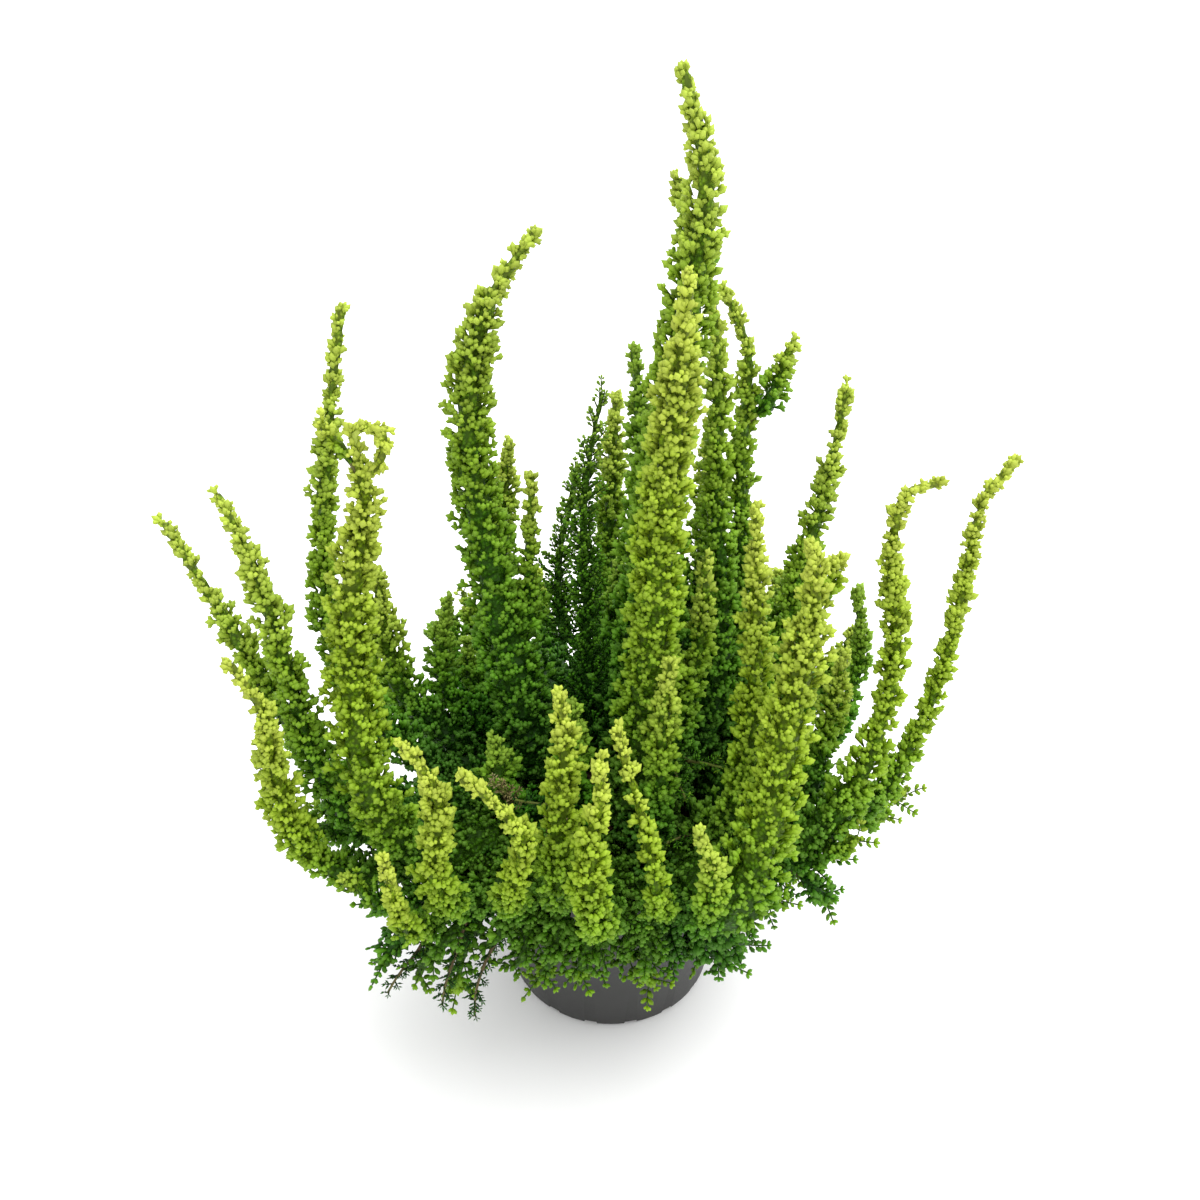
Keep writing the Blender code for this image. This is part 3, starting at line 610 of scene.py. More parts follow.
@dataclass
class Pot:
    """The moulded pot: a thin round shell with its drain slots cut astride the corner of the foot."""

    shape: PotShape
    finish: PotFinish = field(default_factory=PotFinish)
    sides: int = 96
    corner: float = 0.9
    corner_steps: int = 2
    slots: int = 16
    slot_size: tuple[float, float, float] = (10.0, 7.5, 6.4)
    slot_narrowing: float = 0.7
    sharp_over: float = math.radians(40)

    def slot_tree(self) -> bpy.types.NodeTree:
        """Builds the tree that sets blocks in a ring round the foot and cuts them out of the shell.

        Returns:
            The tree.
        """
        tree, of = new_tree("drain_slots", (
            ("Slots", "Int"), ("Ring radius", "Float"), ("Slot size", "Vector"), ("Narrowing", "Float")))
        block = add(tree, "GeometryNodeMeshCube", {"Size": of["Slot size"]})
        place = add(tree, POSITION)
        parts = add(tree, SEPARATE, {0: place})
        is_top = add(tree, COMPARE, {"A": output(parts, "Z"), "B": 0.0}, operation="GREATER_THAN")
        narrow = add(tree, MATH, {0: output(parts, "Y"), 1: of["Narrowing"]}, operation="MULTIPLY")
        moved = add(tree, COMBINE, {"X": output(parts, "X"), "Y": narrow, "Z": output(parts, "Z")})
        block = add(tree, "GeometryNodeSetPosition", {
            "Geometry": block, "Selection": is_top, "Position": moved})
        ring = add(tree, "GeometryNodeMeshCircle", {"Vertices": of["Slots"], "Radius": of["Ring radius"]})
        step = add(tree, MATH, {0: math.tau, 1: of["Slots"]}, operation="DIVIDE")
        half = add(tree, MATH, {0: step, 1: 0.5}, operation="MULTIPLY")
        shift = add(tree, COMBINE, {"Z": half})
        ring = add(tree, "GeometryNodeTransform", {"Geometry": ring, "Rotation": shift})
        outwards = add(tree, VECTOR, {0: place}, operation="NORMALIZE")
        turn = add(tree, "FunctionNodeAlignRotationToVector", {"Vector": outwards}, axis="X")
        blocks = add(tree, INSTANCE, {"Points": ring, "Instance": block, "Rotation": turn})
        blocks = add(tree, REALIZE, {"Geometry": blocks})
        cut = add(tree, "GeometryNodeMeshBoolean", {
            "Mesh 1": of["Geometry"], "Mesh 2": blocks},
            operation="DIFFERENCE", solver="EXACT")
        add(tree, "NodeGroupOutput", {"Geometry": cut})
        return tree

    def build(self) -> bpy.types.Object:
        """Makes the pot.

        Returns:
            Its piece.
        """
        profile = rounded(self.shape.profile(), self.corner, self.corner_steps)
        pot = from_bmesh("pot_moulded", turned(profile, self.sides))
        grow(pot, self.slot_tree(), {
            "Slots": self.slots, "Ring radius": self.shape.foot_radius * MM,
            "Slot size": [length * MM for length in self.slot_size], "Narrowing": self.slot_narrowing})
        pot.data.shade_smooth()
        pot.data.set_sharp_from_angle(angle=self.sharp_over)
        pot.data.materials.clear()
        pot.data.materials.append(self.finish.material())
        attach(pot, BODY)
        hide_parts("pot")
        return pot


@dataclass(frozen=True)
class Litter:
    """One kind of crumb on the soil: how many lie on a square metre, its size, its flatness and its look."""

    finish: SoilFinish
    density: float
    size: tuple[float, float]
    flatness: tuple[float, float]


LITTERS = (
    Litter(PEAT, 45000.0, (0.5, 1.6), (0.8, 0.6)),
    Litter(BARK_CHIP, 9000.0, (0.9, 2.6), (0.45, 0.3)),
    Litter(PERLITE, 3500.0, (0.5, 1.3), (0.9, 0.8)),
)


@dataclass
class Soil:
    """The peat in the pot: a closed body with an uneven top and litter strewn over it."""

    shape: PotShape
    level: float = 89.0
    crown: float = 2.0
    gap: float = 0.4
    sides: int = 72
    rings: int = 20
    lump: float = 2.2
    lump_size: float = 15.0
    grit: float = 0.9
    grit_size: float = 4.0
    edge_fade: float = 5.0
    litter_below: float = 1.0
    tumble: float = 0.5
    tumble_seed: int = 1
    crumb_seed: int = 2

    def height(self, reach: float) -> float:
        """Returns the height of the soil's top at a distance from the axis, crowned in the middle."""
        share = min(1.0, reach / self.shape.inner(self.level))
        return self.level + self.crown * (1 - share * share)

    def body(self) -> bpy.types.Object:
        """Makes the soil itself, its top pushed up and down by two sizes of noise.

        Returns:
            The soil, still without litter.
        """
        shape, gap = self.shape, self.gap
        bottom, step = shape.floor + gap, shape.step_height + shape.step_rise
        edge = shape.inner(self.level) - gap
        profile = [
            (0, bottom),
            (shape.inner(bottom) - shape.foot_round - gap, bottom),
            (shape.inner(bottom + shape.foot_round) - gap, bottom + shape.foot_round + gap),
            (shape.inner(shape.step_height) - gap, shape.step_height + shape.wall),
            (shape.inner(step) - gap, step + shape.wall),
        ]
        for ring in range(self.rings, -1, -1):
            reach = edge * ring / self.rings
            profile.append((reach, self.height(reach)))
        bm = turned(profile, self.sides)
        for vert in bm.verts:
            reach = math.hypot(vert.co.x, vert.co.y)
            if vert.co.z >= self.level:
                push = self.lump * noise.noise(vert.co / self.lump_size)
                push += self.grit * noise.noise(vert.co / self.grit_size)
                vert.co.z += push * min(1.0, (edge - reach) / self.edge_fade)
        soil = from_bmesh("soil_top", bm)
        soil.data.materials.append(PEAT.material())
        soil.data.shade_smooth()
        return soil

    def litter_tree(self) -> bpy.types.NodeTree:
        """Builds the tree that strews flattened crumbs over the upper side of a body.

        Returns:
            The tree.
        """
        tree, of = new_tree("litter", (
            ("Density", "Float"), ("Least size", "Float"), ("Most size", "Float"), ("Flatness", "Vector"),
            ("Above", "Float"), ("Seed", "Int"), ("Crumb material", "Material")))
        up = add(tree, SEPARATE, {0: add(tree, POSITION)})
        is_top = add(tree, COMPARE, {"A": output(up, "Z"), "B": of["Above"]}, operation="GREATER_THAN")
        points = add(tree, "GeometryNodeDistributePointsOnFaces", {
            "Mesh": of["Geometry"], "Selection": is_top,
            "Density": of["Density"], "Seed": of["Seed"]})
        crumb = add(tree, "GeometryNodeMeshIcoSphere", {"Radius": 1.0, "Subdivisions": 1})
        tumble = add(tree, LOT, {
            "Min": (-self.tumble, -self.tumble, 0.0), "Max": (self.tumble, self.tumble, math.tau),
            "Seed": self.tumble_seed}, data_type="FLOAT_VECTOR")
        size = add(tree, LOT, {"Min": of["Least size"], "Max": of["Most size"], "Seed": self.crumb_seed})
        shape = add(tree, VECTOR, {0: of["Flatness"], "Scale": size}, operation="SCALE")
        crumbs = add(tree, INSTANCE, {
            "Points": points, "Instance": crumb, "Rotation": tumble, "Scale": shape})
        crumbs = add(tree, REALIZE, {"Geometry": crumbs})
        final = add(tree, DRESS, {"Geometry": crumbs, "Material": of["Crumb material"]})
        add(tree, "NodeGroupOutput", {"Geometry": final})
        return tree

    def build(self) -> bpy.types.Object:
        """Makes the soil with its litter.

        Returns:
            Its piece.
        """
        body = self.body()
        parts, tree = [body], self.litter_tree()
        for place, litter in enumerate(LITTERS):
            crumbs = new_object(litter.finish.name, body.data.copy())
            least, most = litter.size
            side, thick = litter.flatness
            grow(crumbs, tree, {
                "Density": litter.density, "Least size": least * MM, "Most size": most * MM,
                "Flatness": [1.0, side, thick], "Above": (self.level - self.litter_below) * MM,
                "Seed": SEED + place, "Crumb material": litter.finish.material()})
            parts.append(crumbs)
        with bpy.context.temp_override(active_object=body, selected_editable_objects=parts):
            bpy.ops.object.join()
        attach(body, BODY)
        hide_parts("soil")
        return body


SOIL = Soil(POT)


# Stems: their routes and how they are bent clear of each other

@dataclass
class Spray:
    """A leafy branch: its route in space from just off its stem, and its half widths low and high."""

    route: list[tuple[float, float, float]]
    half_width: tuple[float, float]


@dataclass
class Stem:
    """A leafy stem: its route above the soil, its half widths low and high, its tint and its sprays."""

    route: list[tuple[float, float, float]]
    half_width: tuple[float, float]
    tint: Tint
    sprays: list[Spray] = field(default_factory=list)


# Routes run from where the leaves are at their thickest, low down, to the tip
STEMS: dict[str, Stem] = {
    "stem_left_outer": Stem(
        [(-98, -38, 135), (-118, -40, 165), (-136, -32, 205), (-148, -22, 222), (-160, -14, 243)],
        (9, 6), Tint.GREEN),
    "stem_left_high": Stem(
        [(-92, -58, 135), (-107, -58, 165), (-115, -50, 210), (-124, -42, 250), (-132, -36, 268)],
        (10, 6.5), Tint.GREEN),
    "stem_left_lime": Stem(
        [(-96, -72, 125), (-112, -75, 142), (-118, -75, 180), (-118, -74, 205), (-126, -72, 224)],
        (8, 6.5), Tint.LIME),
    "stem_left_slim": Stem(
        [(-80, -15, 135), (-104, -18, 180), (-106, -8, 230), (-100, 0, 275), (-93, 9, 314)],
        (9, 5.5), Tint.GREEN),
    "stem_left_column": Stem(
        [(-70, -60, 122), (-86, -68, 160), (-91, -55, 195), (-90, -44, 232), (-83, -38, 265),
         (-85, -35, 291)],
        (10, 8.5), Tint.LIME,
        [Spray([(-86, -36, 280), (-95, -32, 292)], (4, 3))]),
    "stem_front_left": Stem(
        [(-52, -78, 117), (-62, -96, 145), (-60, -92, 170), (-60, -90, 185), (-70, -85, 201)],
        (8.5, 6.5), Tint.LIME,
        [Spray([(-66, -90, 105), (-73, -90, 92)], (6, 5)),
         Spray([(-56, -84, 99), (-60, -85, 76)], (6, 4))]),
    "stem_front_left_low": Stem(
        [(-60, -80, 113), (-72, -98, 125), (-76, -102, 145), (-78, -100, 162)],
        (7.5, 5.5), Tint.LIME),
    "stem_inner_left": Stem(
        [(-70, 5, 130), (-86, 5, 150), (-92, 12, 175), (-93, 20, 199)],
        (12, 8), Tint.GREEN),
    "stem_inner_left_dark": Stem(
        [(-55, 12, 128), (-71, 15, 150), (-70, 24, 165), (-68, 30, 178)],
        (12, 7), Tint.DARK),
    "stem_inner_back": Stem([(-45, 20, 120), (-59, 26, 140), (-61, 32, 155)], (11, 7), Tint.DARK),
    "stem_middle_left": Stem(
        [(-30, -8, 125), (-40, -5, 175), (-50, 8, 235), (-52, 15, 277), (-43, 20, 313), (-27, 25, 335)],
        (12, 8.5), Tint.GREEN,
        [Spray([(-34, 2, 188), (-32, 10, 212), (-31, 20, 243)], (9, 4))]),
    "stem_centre_feather": Stem(
        [(-8, 5, 130), (-10, 14, 180), (-11, 20, 232), (-4, 30, 273)],
        (12, 6), Tint.DARK,
        [Spray([(-19, 22, 168), (-22, 32, 192), (-14, 40, 232)], (10, 5))]),
    "stem_centre_back": Stem(
        [(8, 20, 130), (12, 30, 180), (12, 35, 235), (8, 40, 286)],
        (11, 6.5), Tint.DARK),
    "stem_centre_tall": Stem(
        [(8, -15, 125), (13, -8, 190), (16, -5, 247), (25, 0, 321), (29, 5, 359), (21, 10, 391)],
        (12, 9), Tint.GREEN,
        [Spray([(27, 14, 327), (21, 20, 355)], (6, 4))]),
    "stem_centre_front": Stem(
        [(8, -36, 120), (12, -38, 160), (17, -30, 262), (22, -25, 321), (23, -22, 339)],
        (12, 8.5), Tint.LIME),
    "stem_right_pair": Stem(
        [(35, -5, 130), (43, 0, 180), (39, 10, 238), (37, 20, 294), (33, 25, 321)],
        (11, 6), Tint.GREEN),
    "stem_right_fork": Stem(
        [(45, 8, 130), (51, 12, 175), (49, 25, 251), (49, 30, 290), (40, 35, 311)],
        (10, 5.5), Tint.GREEN,
        [Spray([(57, 26, 270), (65, 30, 293)], (6, 5))]),
    "stem_right_high": Stem(
        [(52, -8, 125), (66, -8, 168), (70, 2, 200), (80, 15, 240), (86, 25, 277)],
        (11, 6), Tint.GREEN),
    "stem_right_dark": Stem([(58, 22, 125), (72, 32, 158), (76, 38, 190)], (13, 9), Tint.DARK),
    "stem_right_curled": Stem(
        [(72, -48, 118), (91, -47, 143), (101, -36, 170), (104, -28, 197), (100, -18, 238),
         (103, -15, 256), (114, -12, 258)],
        (14, 5.5), Tint.LIME),
    "stem_right_slim": Stem(
        [(74, 0, 120), (92, 0, 130), (98, 9, 143), (103, 15, 160), (99, 20, 189)],
        (9, 5), Tint.DARK),
    "stem_right_outer": Stem(
        [(82, -34, 117), (102, -38, 130), (116, -28, 148), (125, -20, 178), (131, -10, 212),
         (136, 0, 246), (146, 5, 257)],
        (10, 4.5), Tint.LIME,
        [Spray([(104, -28, 112), (113, -22, 107)], (7, 5))]),
    "stem_front_right_pale": Stem(
        [(35, -48, 118), (47, -58, 152), (51, -45, 188), (51, -30, 222), (50, -20, 252)],
        (11, 6.5), Tint.LIME),
    "stem_front_right": Stem(
        [(32, -75, 114), (43, -90, 128), (52, -84, 152), (58, -72, 178), (62, -62, 201),
         (68, -50, 239), (65, -48, 255)],
        (14, 9), Tint.LIME,
        [Spray([(73, -44, 234), (76, -41, 245)], (4.5, 4)),
         Spray([(58, -72, 112), (64, -66, 105)], (7, 5))]),
    "stem_right_low": Stem(
        [(62, -24, 117), (78, -28, 126), (85, -16, 145), (91, -6, 178)],
        (11, 6.5), Tint.GREEN),
    "stem_middle_right": Stem(
        [(20, -28, 125), (26, -28, 165), (33, -19, 195), (34, -12, 227)],
        (11, 6), Tint.GREEN),
    "stem_crown_front": Stem(
        [(12, -50, 118), (17, -56, 150), (18, -52, 180), (20, -46, 206)],
        (11, 6), Tint.GREEN),
    "stem_crown_left": Stem([(-32, -38, 118), (-42, -44, 140), (-44, -42, 166)], (11, 7), Tint.DARK),
    "stem_crown_middle": Stem([(-12, -36, 118), (-16, -44, 148), (-14, -42, 182)], (11, 7), Tint.DARK),
    "stem_front_arch": Stem(
        [(-35, -75, 114), (-36, -96, 140), (-31, -95, 167), (-38, -94, 180), (-50, -92, 193)],
        (9, 5), Tint.LIME,
        [Spray([(-42, -88, 110), (-49, -86, 101)], (6, 5)),
         Spray([(-33, -86, 98), (-38, -84, 88)], (6, 4))]),
    "stem_front_middle": Stem(
        [(-20, -72, 117), (-19, -88, 135), (-19, -84, 155), (-17, -75, 185), (-18, -68, 208)],
        (9.5, 7), Tint.LIME,
        [Spray([(-21, -85, 102), (-28, -86, 83)], (7, 5))]),
    "stem_front_bright": Stem(
        [(-2, -80, 114), (-7, -103, 135), (-8, -98, 165), (-5, -92, 182), (-5, -88, 195)],
        (9, 6.5), Tint.LIME,
        [Spray([(-10, -86, 100), (-13, -86, 84)], (7, 5))]),
    "stem_front_thin": Stem(
        [(15, -76, 115), (16, -98, 138), (11, -90, 166), (5, -80, 184), (1, -75, 198)],
        (8, 4.5), Tint.LIME,
        [Spray([(13, -88, 100), (14, -86, 82)], (7, 5))]),
    "stem_front_short": Stem(
        [(30, -77, 114), (33, -99, 132), (34, -98, 155), (29, -95, 169)],
        (9, 5.5), Tint.GREEN,
        [Spray([(37, -86, 102), (43, -81, 85)], (7, 5)),
         Spray([(44, -88, 108), (49, -82, 98)], (6, 5))]),
    "stem_low_left": Stem(
        [(-88, -36, 114), (-112, -46, 122), (-130, -50, 134)],
        (10, 7), Tint.GREEN,
        [Spray([(-104, -32, 113), (-118, -30, 118)], (7, 5))]),
    "stem_low_left_front": Stem([(-78, -56, 113), (-98, -66, 122), (-114, -70, 136)], (10, 7), Tint.GREEN),
    "stem_low_left_edge": Stem(
        [(-66, -68, 112), (-84, -82, 120), (-96, -84, 136)],
        (9, 6.5), Tint.GREEN,
        [Spray([(-78, -84, 108), (-85, -88, 98)], (6, 5))]),
    "stem_low_right": Stem([(82, -14, 112), (106, -13, 108), (122, -10, 106)], (9, 5.5), Tint.GREEN),
    "stem_low_right_front": Stem(
        [(60, -50, 112), (80, -57, 117), (93, -57, 130)],
        (10, 6), Tint.GREEN,
        [Spray([(78, -62, 108), (84, -60, 98)], (6, 5))]),
    "stem_back_left": Stem([(-55, 40, 118), (-72, 58, 130), (-74, 70, 148)], (11, 8), Tint.DARK),
    "stem_back_left_high": Stem(
        [(-32, 42, 120), (-46, 58, 150), (-47, 62, 195), (-42, 60, 236)],
        (11, 7), Tint.GREEN),
    "stem_back_middle": Stem(
        [(-4, 48, 120), (-2, 70, 150), (0, 78, 200), (2, 80, 246)],
        (11, 7), Tint.GREEN),
    "stem_back_right_high": Stem(
        [(26, 44, 120), (38, 66, 150), (42, 74, 200), (41, 74, 240)],
        (11, 7), Tint.GREEN),
    "stem_back_right": Stem([(50, 45, 118), (70, 66, 135), (76, 76, 160)], (11, 8), Tint.GREEN),
    "stem_side_right": Stem([(76, 30, 114), (98, 42, 128), (106, 48, 150)], (11, 7), Tint.GREEN),
    "stem_side_left": Stem([(-76, 24, 114), (-100, 34, 130), (-110, 38, 155)], (11, 7), Tint.GREEN),
    "stem_low_back_right": Stem(
        [(20, 72, 113), (26, 96, 120), (30, 106, 138)],
        (10, 7), Tint.GREEN,
        [Spray([(26, 90, 106), (28, 94, 92)], (7, 5))]),
    "stem_low_back_left": Stem(
        [(-26, 72, 113), (-32, 94, 122), (-35, 104, 142)],
        (10, 7), Tint.GREEN,
        [Spray([(-36, 86, 104), (-40, 88, 90)], (7, 5))]),
    "stem_low_back_corner": Stem(
        [(56, 56, 113), (78, 78, 118), (90, 88, 134)],
        (10, 7), Tint.GREEN,
        [Spray([(76, 66, 108), (86, 66, 100)], (7, 5))]),
    "stem_crown_back": Stem([(4, 26, 122), (2, 44, 146), (4, 52, 182)], (11, 7), Tint.DARK),
    "stem_crown_right": Stem([(34, 22, 122), (48, 36, 144), (54, 48, 186)], (11, 7), Tint.DARK),
    "stem_back_corner_left": Stem([(-46, 54, 114), (-60, 76, 122), (-68, 86, 144)], (10, 7), Tint.GREEN),
    "stem_back_edge": Stem([(44, 66, 114), (54, 90, 120), (58, 102, 140)], (10, 7), Tint.GREEN),
}


@dataclass
class Branch:
    """One centreline with its widths: a stem, or a spray that starts inside its stem."""

    family: int
    line: np.ndarray
    half_width: tuple[float, float]
    parent: int = -1
    leaves_at: float = 0.0
    fishbone: Tint | None = None
    ages: tuple[float, float] = (0.35, 1.0)


def arc_lengths(points: np.ndarray) -> np.ndarray:
    """Returns the distance along a line of points from its start to each of them."""
    steps = np.linalg.norm(np.diff(points, axis=0), axis=1)
    return np.concatenate([[0.0], np.cumsum(steps)])


def at_length(points: np.ndarray, lengths: Any) -> np.ndarray:
    """Returns the places at given distances along a line of points."""
    along = arc_lengths(points)
    return np.stack([np.interp(lengths, along, points[:, k]) for k in range(3)], axis=1)


def at_share(points: np.ndarray, share: float) -> np.ndarray:
    """Returns the place at a share of the distance along a line of points."""
    return at_length(points, [share * arc_lengths(points)[-1]])[0]


@dataclass
class Bush:
    """The centrelines of all stems and sprays: where they stand, how they run and how wide they are."""

    hole_depth: float = 15.0
    hole_gap: float = 0.4
    bare_rise: float = 16.0
    foot_rise: float = 7.0
    spray_bare: float = 7.0
    spray_back: float = 7.0
    tip_share: float = 0.4
    start_width: float = 0.35
    start_end: float = 0.08
    plume_end: float = 0.45
    taper_start: float = 0.8
    core_share: float = 0.36
    least_core: float = 1.0
    stem_radius: float = 1.5
    spray_radius: float = 1.3
    foot_reach: float = 47.0
    foot_share: float = 0.52
    foot_spacing: float = 10.0
    foot_rounds: int = 200
    foot_push: float = 0.3
    rim_clearance: float = 9.5
    rim_zone: tuple[float, float] = (51.0, 77.0)
    hang_clearance: float = 5.0
    crossing_radius: float = 59.0
    crossing_height: float = 113.0
    crossing_least_reach: float = 69.0
    curve_step: float = 5.0
    curve_samples: int = 24
    bend_rounds: int = 50
    bend_room: float = 3.6
    bend_share: float = 1.1
    bend_push: float = 0.6
    bend_smoothing: int = 3
    stem_free_after: float = 14.0
    spray_free_after: float = 15.0
    hanging_ages: tuple[float, float] = (0.3, 0.72)
    least_square: float = 0.01
    branches: list[Branch] = field(default_factory=list)

    def smooth_curve(self, points: Sequence[Any]) -> np.ndarray:
        """Draws a smooth curve through points, with no overshoot.

        Args:
            points: the points.

        Returns:
            Evenly spaced points on the curve.
        """
        p = np.array(points, float)
        p = np.vstack([2 * p[0] - p[1], p, 2 * p[-1] - p[-2]])
        knots = np.concatenate([[0.0], np.cumsum(np.linalg.norm(np.diff(p, axis=0), axis=1) ** 0.5)])
        dense = []
        for n in range(len(p) - 3):
            a, b, c, d = knots[n:n + 4]
            t = np.linspace(b, c, self.curve_samples, endpoint=False)[:, None]
            ab = ((b - t) * p[n] + (t - a) * p[n + 1]) / (b - a)
            bc = ((c - t) * p[n + 1] + (t - b) * p[n + 2]) / (c - b)
            cd = ((d - t) * p[n + 2] + (t - c) * p[n + 3]) / (d - c)
            ac = ((c - t) * ab + (t - a) * bc) / (c - a)
            bd = ((d - t) * bc + (t - b) * cd) / (d - b)
            dense.append(((c - t) * ac + (t - b) * bd) / (c - b))
        line = np.vstack(dense + [p[-2:-1]])
        total = arc_lengths(line)[-1]
        return at_length(line, np.linspace(0, total, max(3, round(total / self.curve_step) + 1)))

    def spread_feet(self) -> np.ndarray:
        """Finds where each stem stands in the soil: towards its route, and evenly spaced.

        Returns:
            A place across the soil for each stem.
        """
        feet = np.array([stem.route[0][:2] for stem in STEMS.values()], float) * self.foot_share
        for _ in range(self.foot_rounds):
            apart = feet[:, None] - feet[None]
            distance = np.linalg.norm(apart, axis=2) + np.eye(len(feet)) * FAR
            push = np.clip(self.foot_spacing - distance, 0, None)[..., None] * apart / distance[..., None]
            feet += self.foot_push * push.sum(axis=1)
            reach = np.linalg.norm(feet, axis=1, keepdims=True)
            feet *= np.minimum(1.0, self.foot_reach / np.maximum(reach, TINY))
        return feet

    def stem_curve(self, stem: Stem, foot: np.ndarray) -> np.ndarray:
        """Draws a stem's centreline, from the bottom of its hole over the rim to its tip.

        Args:
            stem: the stem.
            foot: where it stands in the soil.

        Returns:
            The points of the centreline.
        """
        top = SOIL.height(math.hypot(*foot))
        points = [(*foot, top), (*foot, top + self.foot_rise)]
        first = np.array(stem.route[0][:2], float)
        reach = np.linalg.norm(first)
        if reach > self.crossing_least_reach:
            points.append((*(first / reach * self.crossing_radius), self.crossing_height))
        above = self.smooth_curve(points + list(stem.route))
        depths = (self.hole_depth - self.hole_gap, self.hole_depth / 2)
        return np.vstack([[(*foot, top - depth) for depth in depths], above])

    def leaving_share(self, line: np.ndarray, first: Any) -> float:
        """Finds where a spray leaves its stem: a little below the stem's nearest place to it.

        Args:
            line: the stem's centreline.
            first: where the spray's route starts.

        Returns:
            The share of the stem's length.
        """
        along = arc_lengths(line)
        nearest = along[np.argmin(np.linalg.norm(line - np.array(first, float), axis=1))]
        return (nearest - self.spray_back) / along[-1]

    def draw(self) -> None:
        """Draws the centrelines of all stems and sprays and bends them clear of each other."""
        for family, (stem, foot) in enumerate(zip(STEMS.values(), self.spread_feet())):
            self.branches.append(Branch(family, self.stem_curve(stem, foot), stem.half_width))
            parent = len(self.branches) - 1
            main = self.branches[parent].line
            for spray in stem.sprays:
                share = self.leaving_share(main, spray.route[0])
                line = self.smooth_curve([at_share(main, share)] + list(spray.route))
                ages = self.hanging_ages if line[-1, 2] < line[0, 2] else Branch.ages
                self.branches.append(Branch(family, line, spray.half_width, parent, share, ages=ages))
        self.bend_clear()

    def width_at(self, branch: Branch, share: np.ndarray) -> np.ndarray:
        """Gives a branch's half width.

        Args:
            branch: the branch.
            share: shares of its leafy length.

        Returns:
            The half width at each of them.
        """
        low, high = branch.half_width
        wide = low + (high - low) * np.clip(share / self.plume_end, 0, 1)
        fade = np.clip((share - self.taper_start) / (1 - self.taper_start), 0, 1)
        start = np.clip(self.start_width + (1 - self.start_width) * share / self.start_end, 0, 1)
        return wide * start * (1 - (1 - self.tip_share) * fade)

    def bare_length(self, branch: Branch) -> float:
        """Returns the length of a branch's bare foot."""
        return self.hole_depth + self.bare_rise if branch.parent < 0 else self.spray_bare

    def core_at(self, branch: Branch, lengths: np.ndarray) -> np.ndarray:
        """Gives the radius of the solid core that the branch has in the frame.

        Args:
            branch: the branch.
            lengths: distances along it.

        Returns:
            The radius at each of them.
        """
        total = arc_lengths(branch.line)[-1]
        bare = self.bare_length(branch)
        share = np.clip((lengths - bare) / (total - bare), 0, 1)
        core = np.maximum(self.core_share * self.width_at(branch, share), self.least_core)
        return np.where(lengths < bare, self.stem_radius if branch.parent < 0 else self.spray_radius, core)

    def keep_off_rim(self, branch: Branch) -> None:
        """Lifts a stem over the rim, or holds a hanging spray outside the pot.

        Args:
            branch: the stem or the spray, whose line is changed.
        """
        line = branch.line
        reach = np.linalg.norm(line[:, :2], axis=1)
        if branch.parent < 0:
            near = (reach > self.rim_zone[0]) & (reach < self.rim_zone[1])
            line[near, 2] = np.maximum(line[near, 2], POT.height + self.rim_clearance)
            return
        wanted = POT.top_radius + self.hang_clearance
        low = (line[:, 2] < POT.height + self.rim_clearance) & (reach < wanted)
        line[low, :2] *= (wanted / np.maximum(reach[low], 1))[:, None]

    def bend_clear(self) -> None:
        """Bends the branches of different stems away from each other, a little at a time."""
        owners = np.concatenate([np.full(len(b.line), b.family) for b in self.branches])
        ends = np.cumsum([len(b.line) for b in self.branches])
        cores = np.concatenate([self.core_at(b, arc_lengths(b.line)) for b in self.branches])
        room = self.bend_share * (cores[:, None] + cores[None]) + self.bend_room
        room[owners[:, None] == owners[None]] = 0.0
        for _ in range(self.bend_rounds):
            points = np.concatenate([b.line for b in self.branches])
            square = (points ** 2).sum(axis=1)
            distance = square[:, None] + square[None] - 2 * points @ points.T
            distance = np.sqrt(np.maximum(distance, self.least_square))
            short = np.clip(room - distance, 0, None) / distance
            push = short.sum(axis=1)[:, None] * points - short @ points
            push /= np.maximum((short > 0).sum(axis=1), 1)[:, None]
            for branch, moves in zip(self.branches, np.split(push, ends[:-1])):
                for _ in range(self.bend_smoothing):
                    padded = np.vstack([moves[:1], moves, moves[-1:]])
                    moves = (padded[:-2] + 2 * padded[1:-1] + padded[2:]) / 4
                along = arc_lengths(branch.line)
                start = self.hole_depth if branch.parent < 0 else 0.0
                free = (along - start) / self.stem_free_after
                branch.line += self.bend_push * moves * np.clip(free, 0, 1)[:, None]
                self.keep_off_rim(branch)
            for branch in self.branches:
                if branch.parent >= 0:
                    start = at_share(self.branches[branch.parent].line, branch.leaves_at)
                    fade = np.clip(1 - arc_lengths(branch.line) / self.spray_free_after, 0, 1)[:, None]
                    branch.line += (start - branch.line[0]) * fade

    def crowding(self, reach: float = 26.0) -> list[np.ndarray]:
        """Counts how crowded each point is by those beside it and above it.

        Args:
            reach: how near another point has to be to count, in millimetres.

        Returns:
            For each branch, a number for each point that grows with the points near it.
        """
        points = np.concatenate([b.line for b in self.branches])
        distance = np.linalg.norm(points[:, None] - points[None], axis=2)
        above = points[None, :, 2] > points[:, None, 2] - reach / 3
        count = ((distance < reach) & above).sum(axis=1).astype(float)
        return np.split(count, np.cumsum([len(b.line) for b in self.branches])[:-1])


# Leaves

class Wear(Enum):
    """How a line is clothed: with tips packed on a thick core, or with side shoots that carry pairs."""

    PACKED = "packed"
    FEATHERED = "feathered"


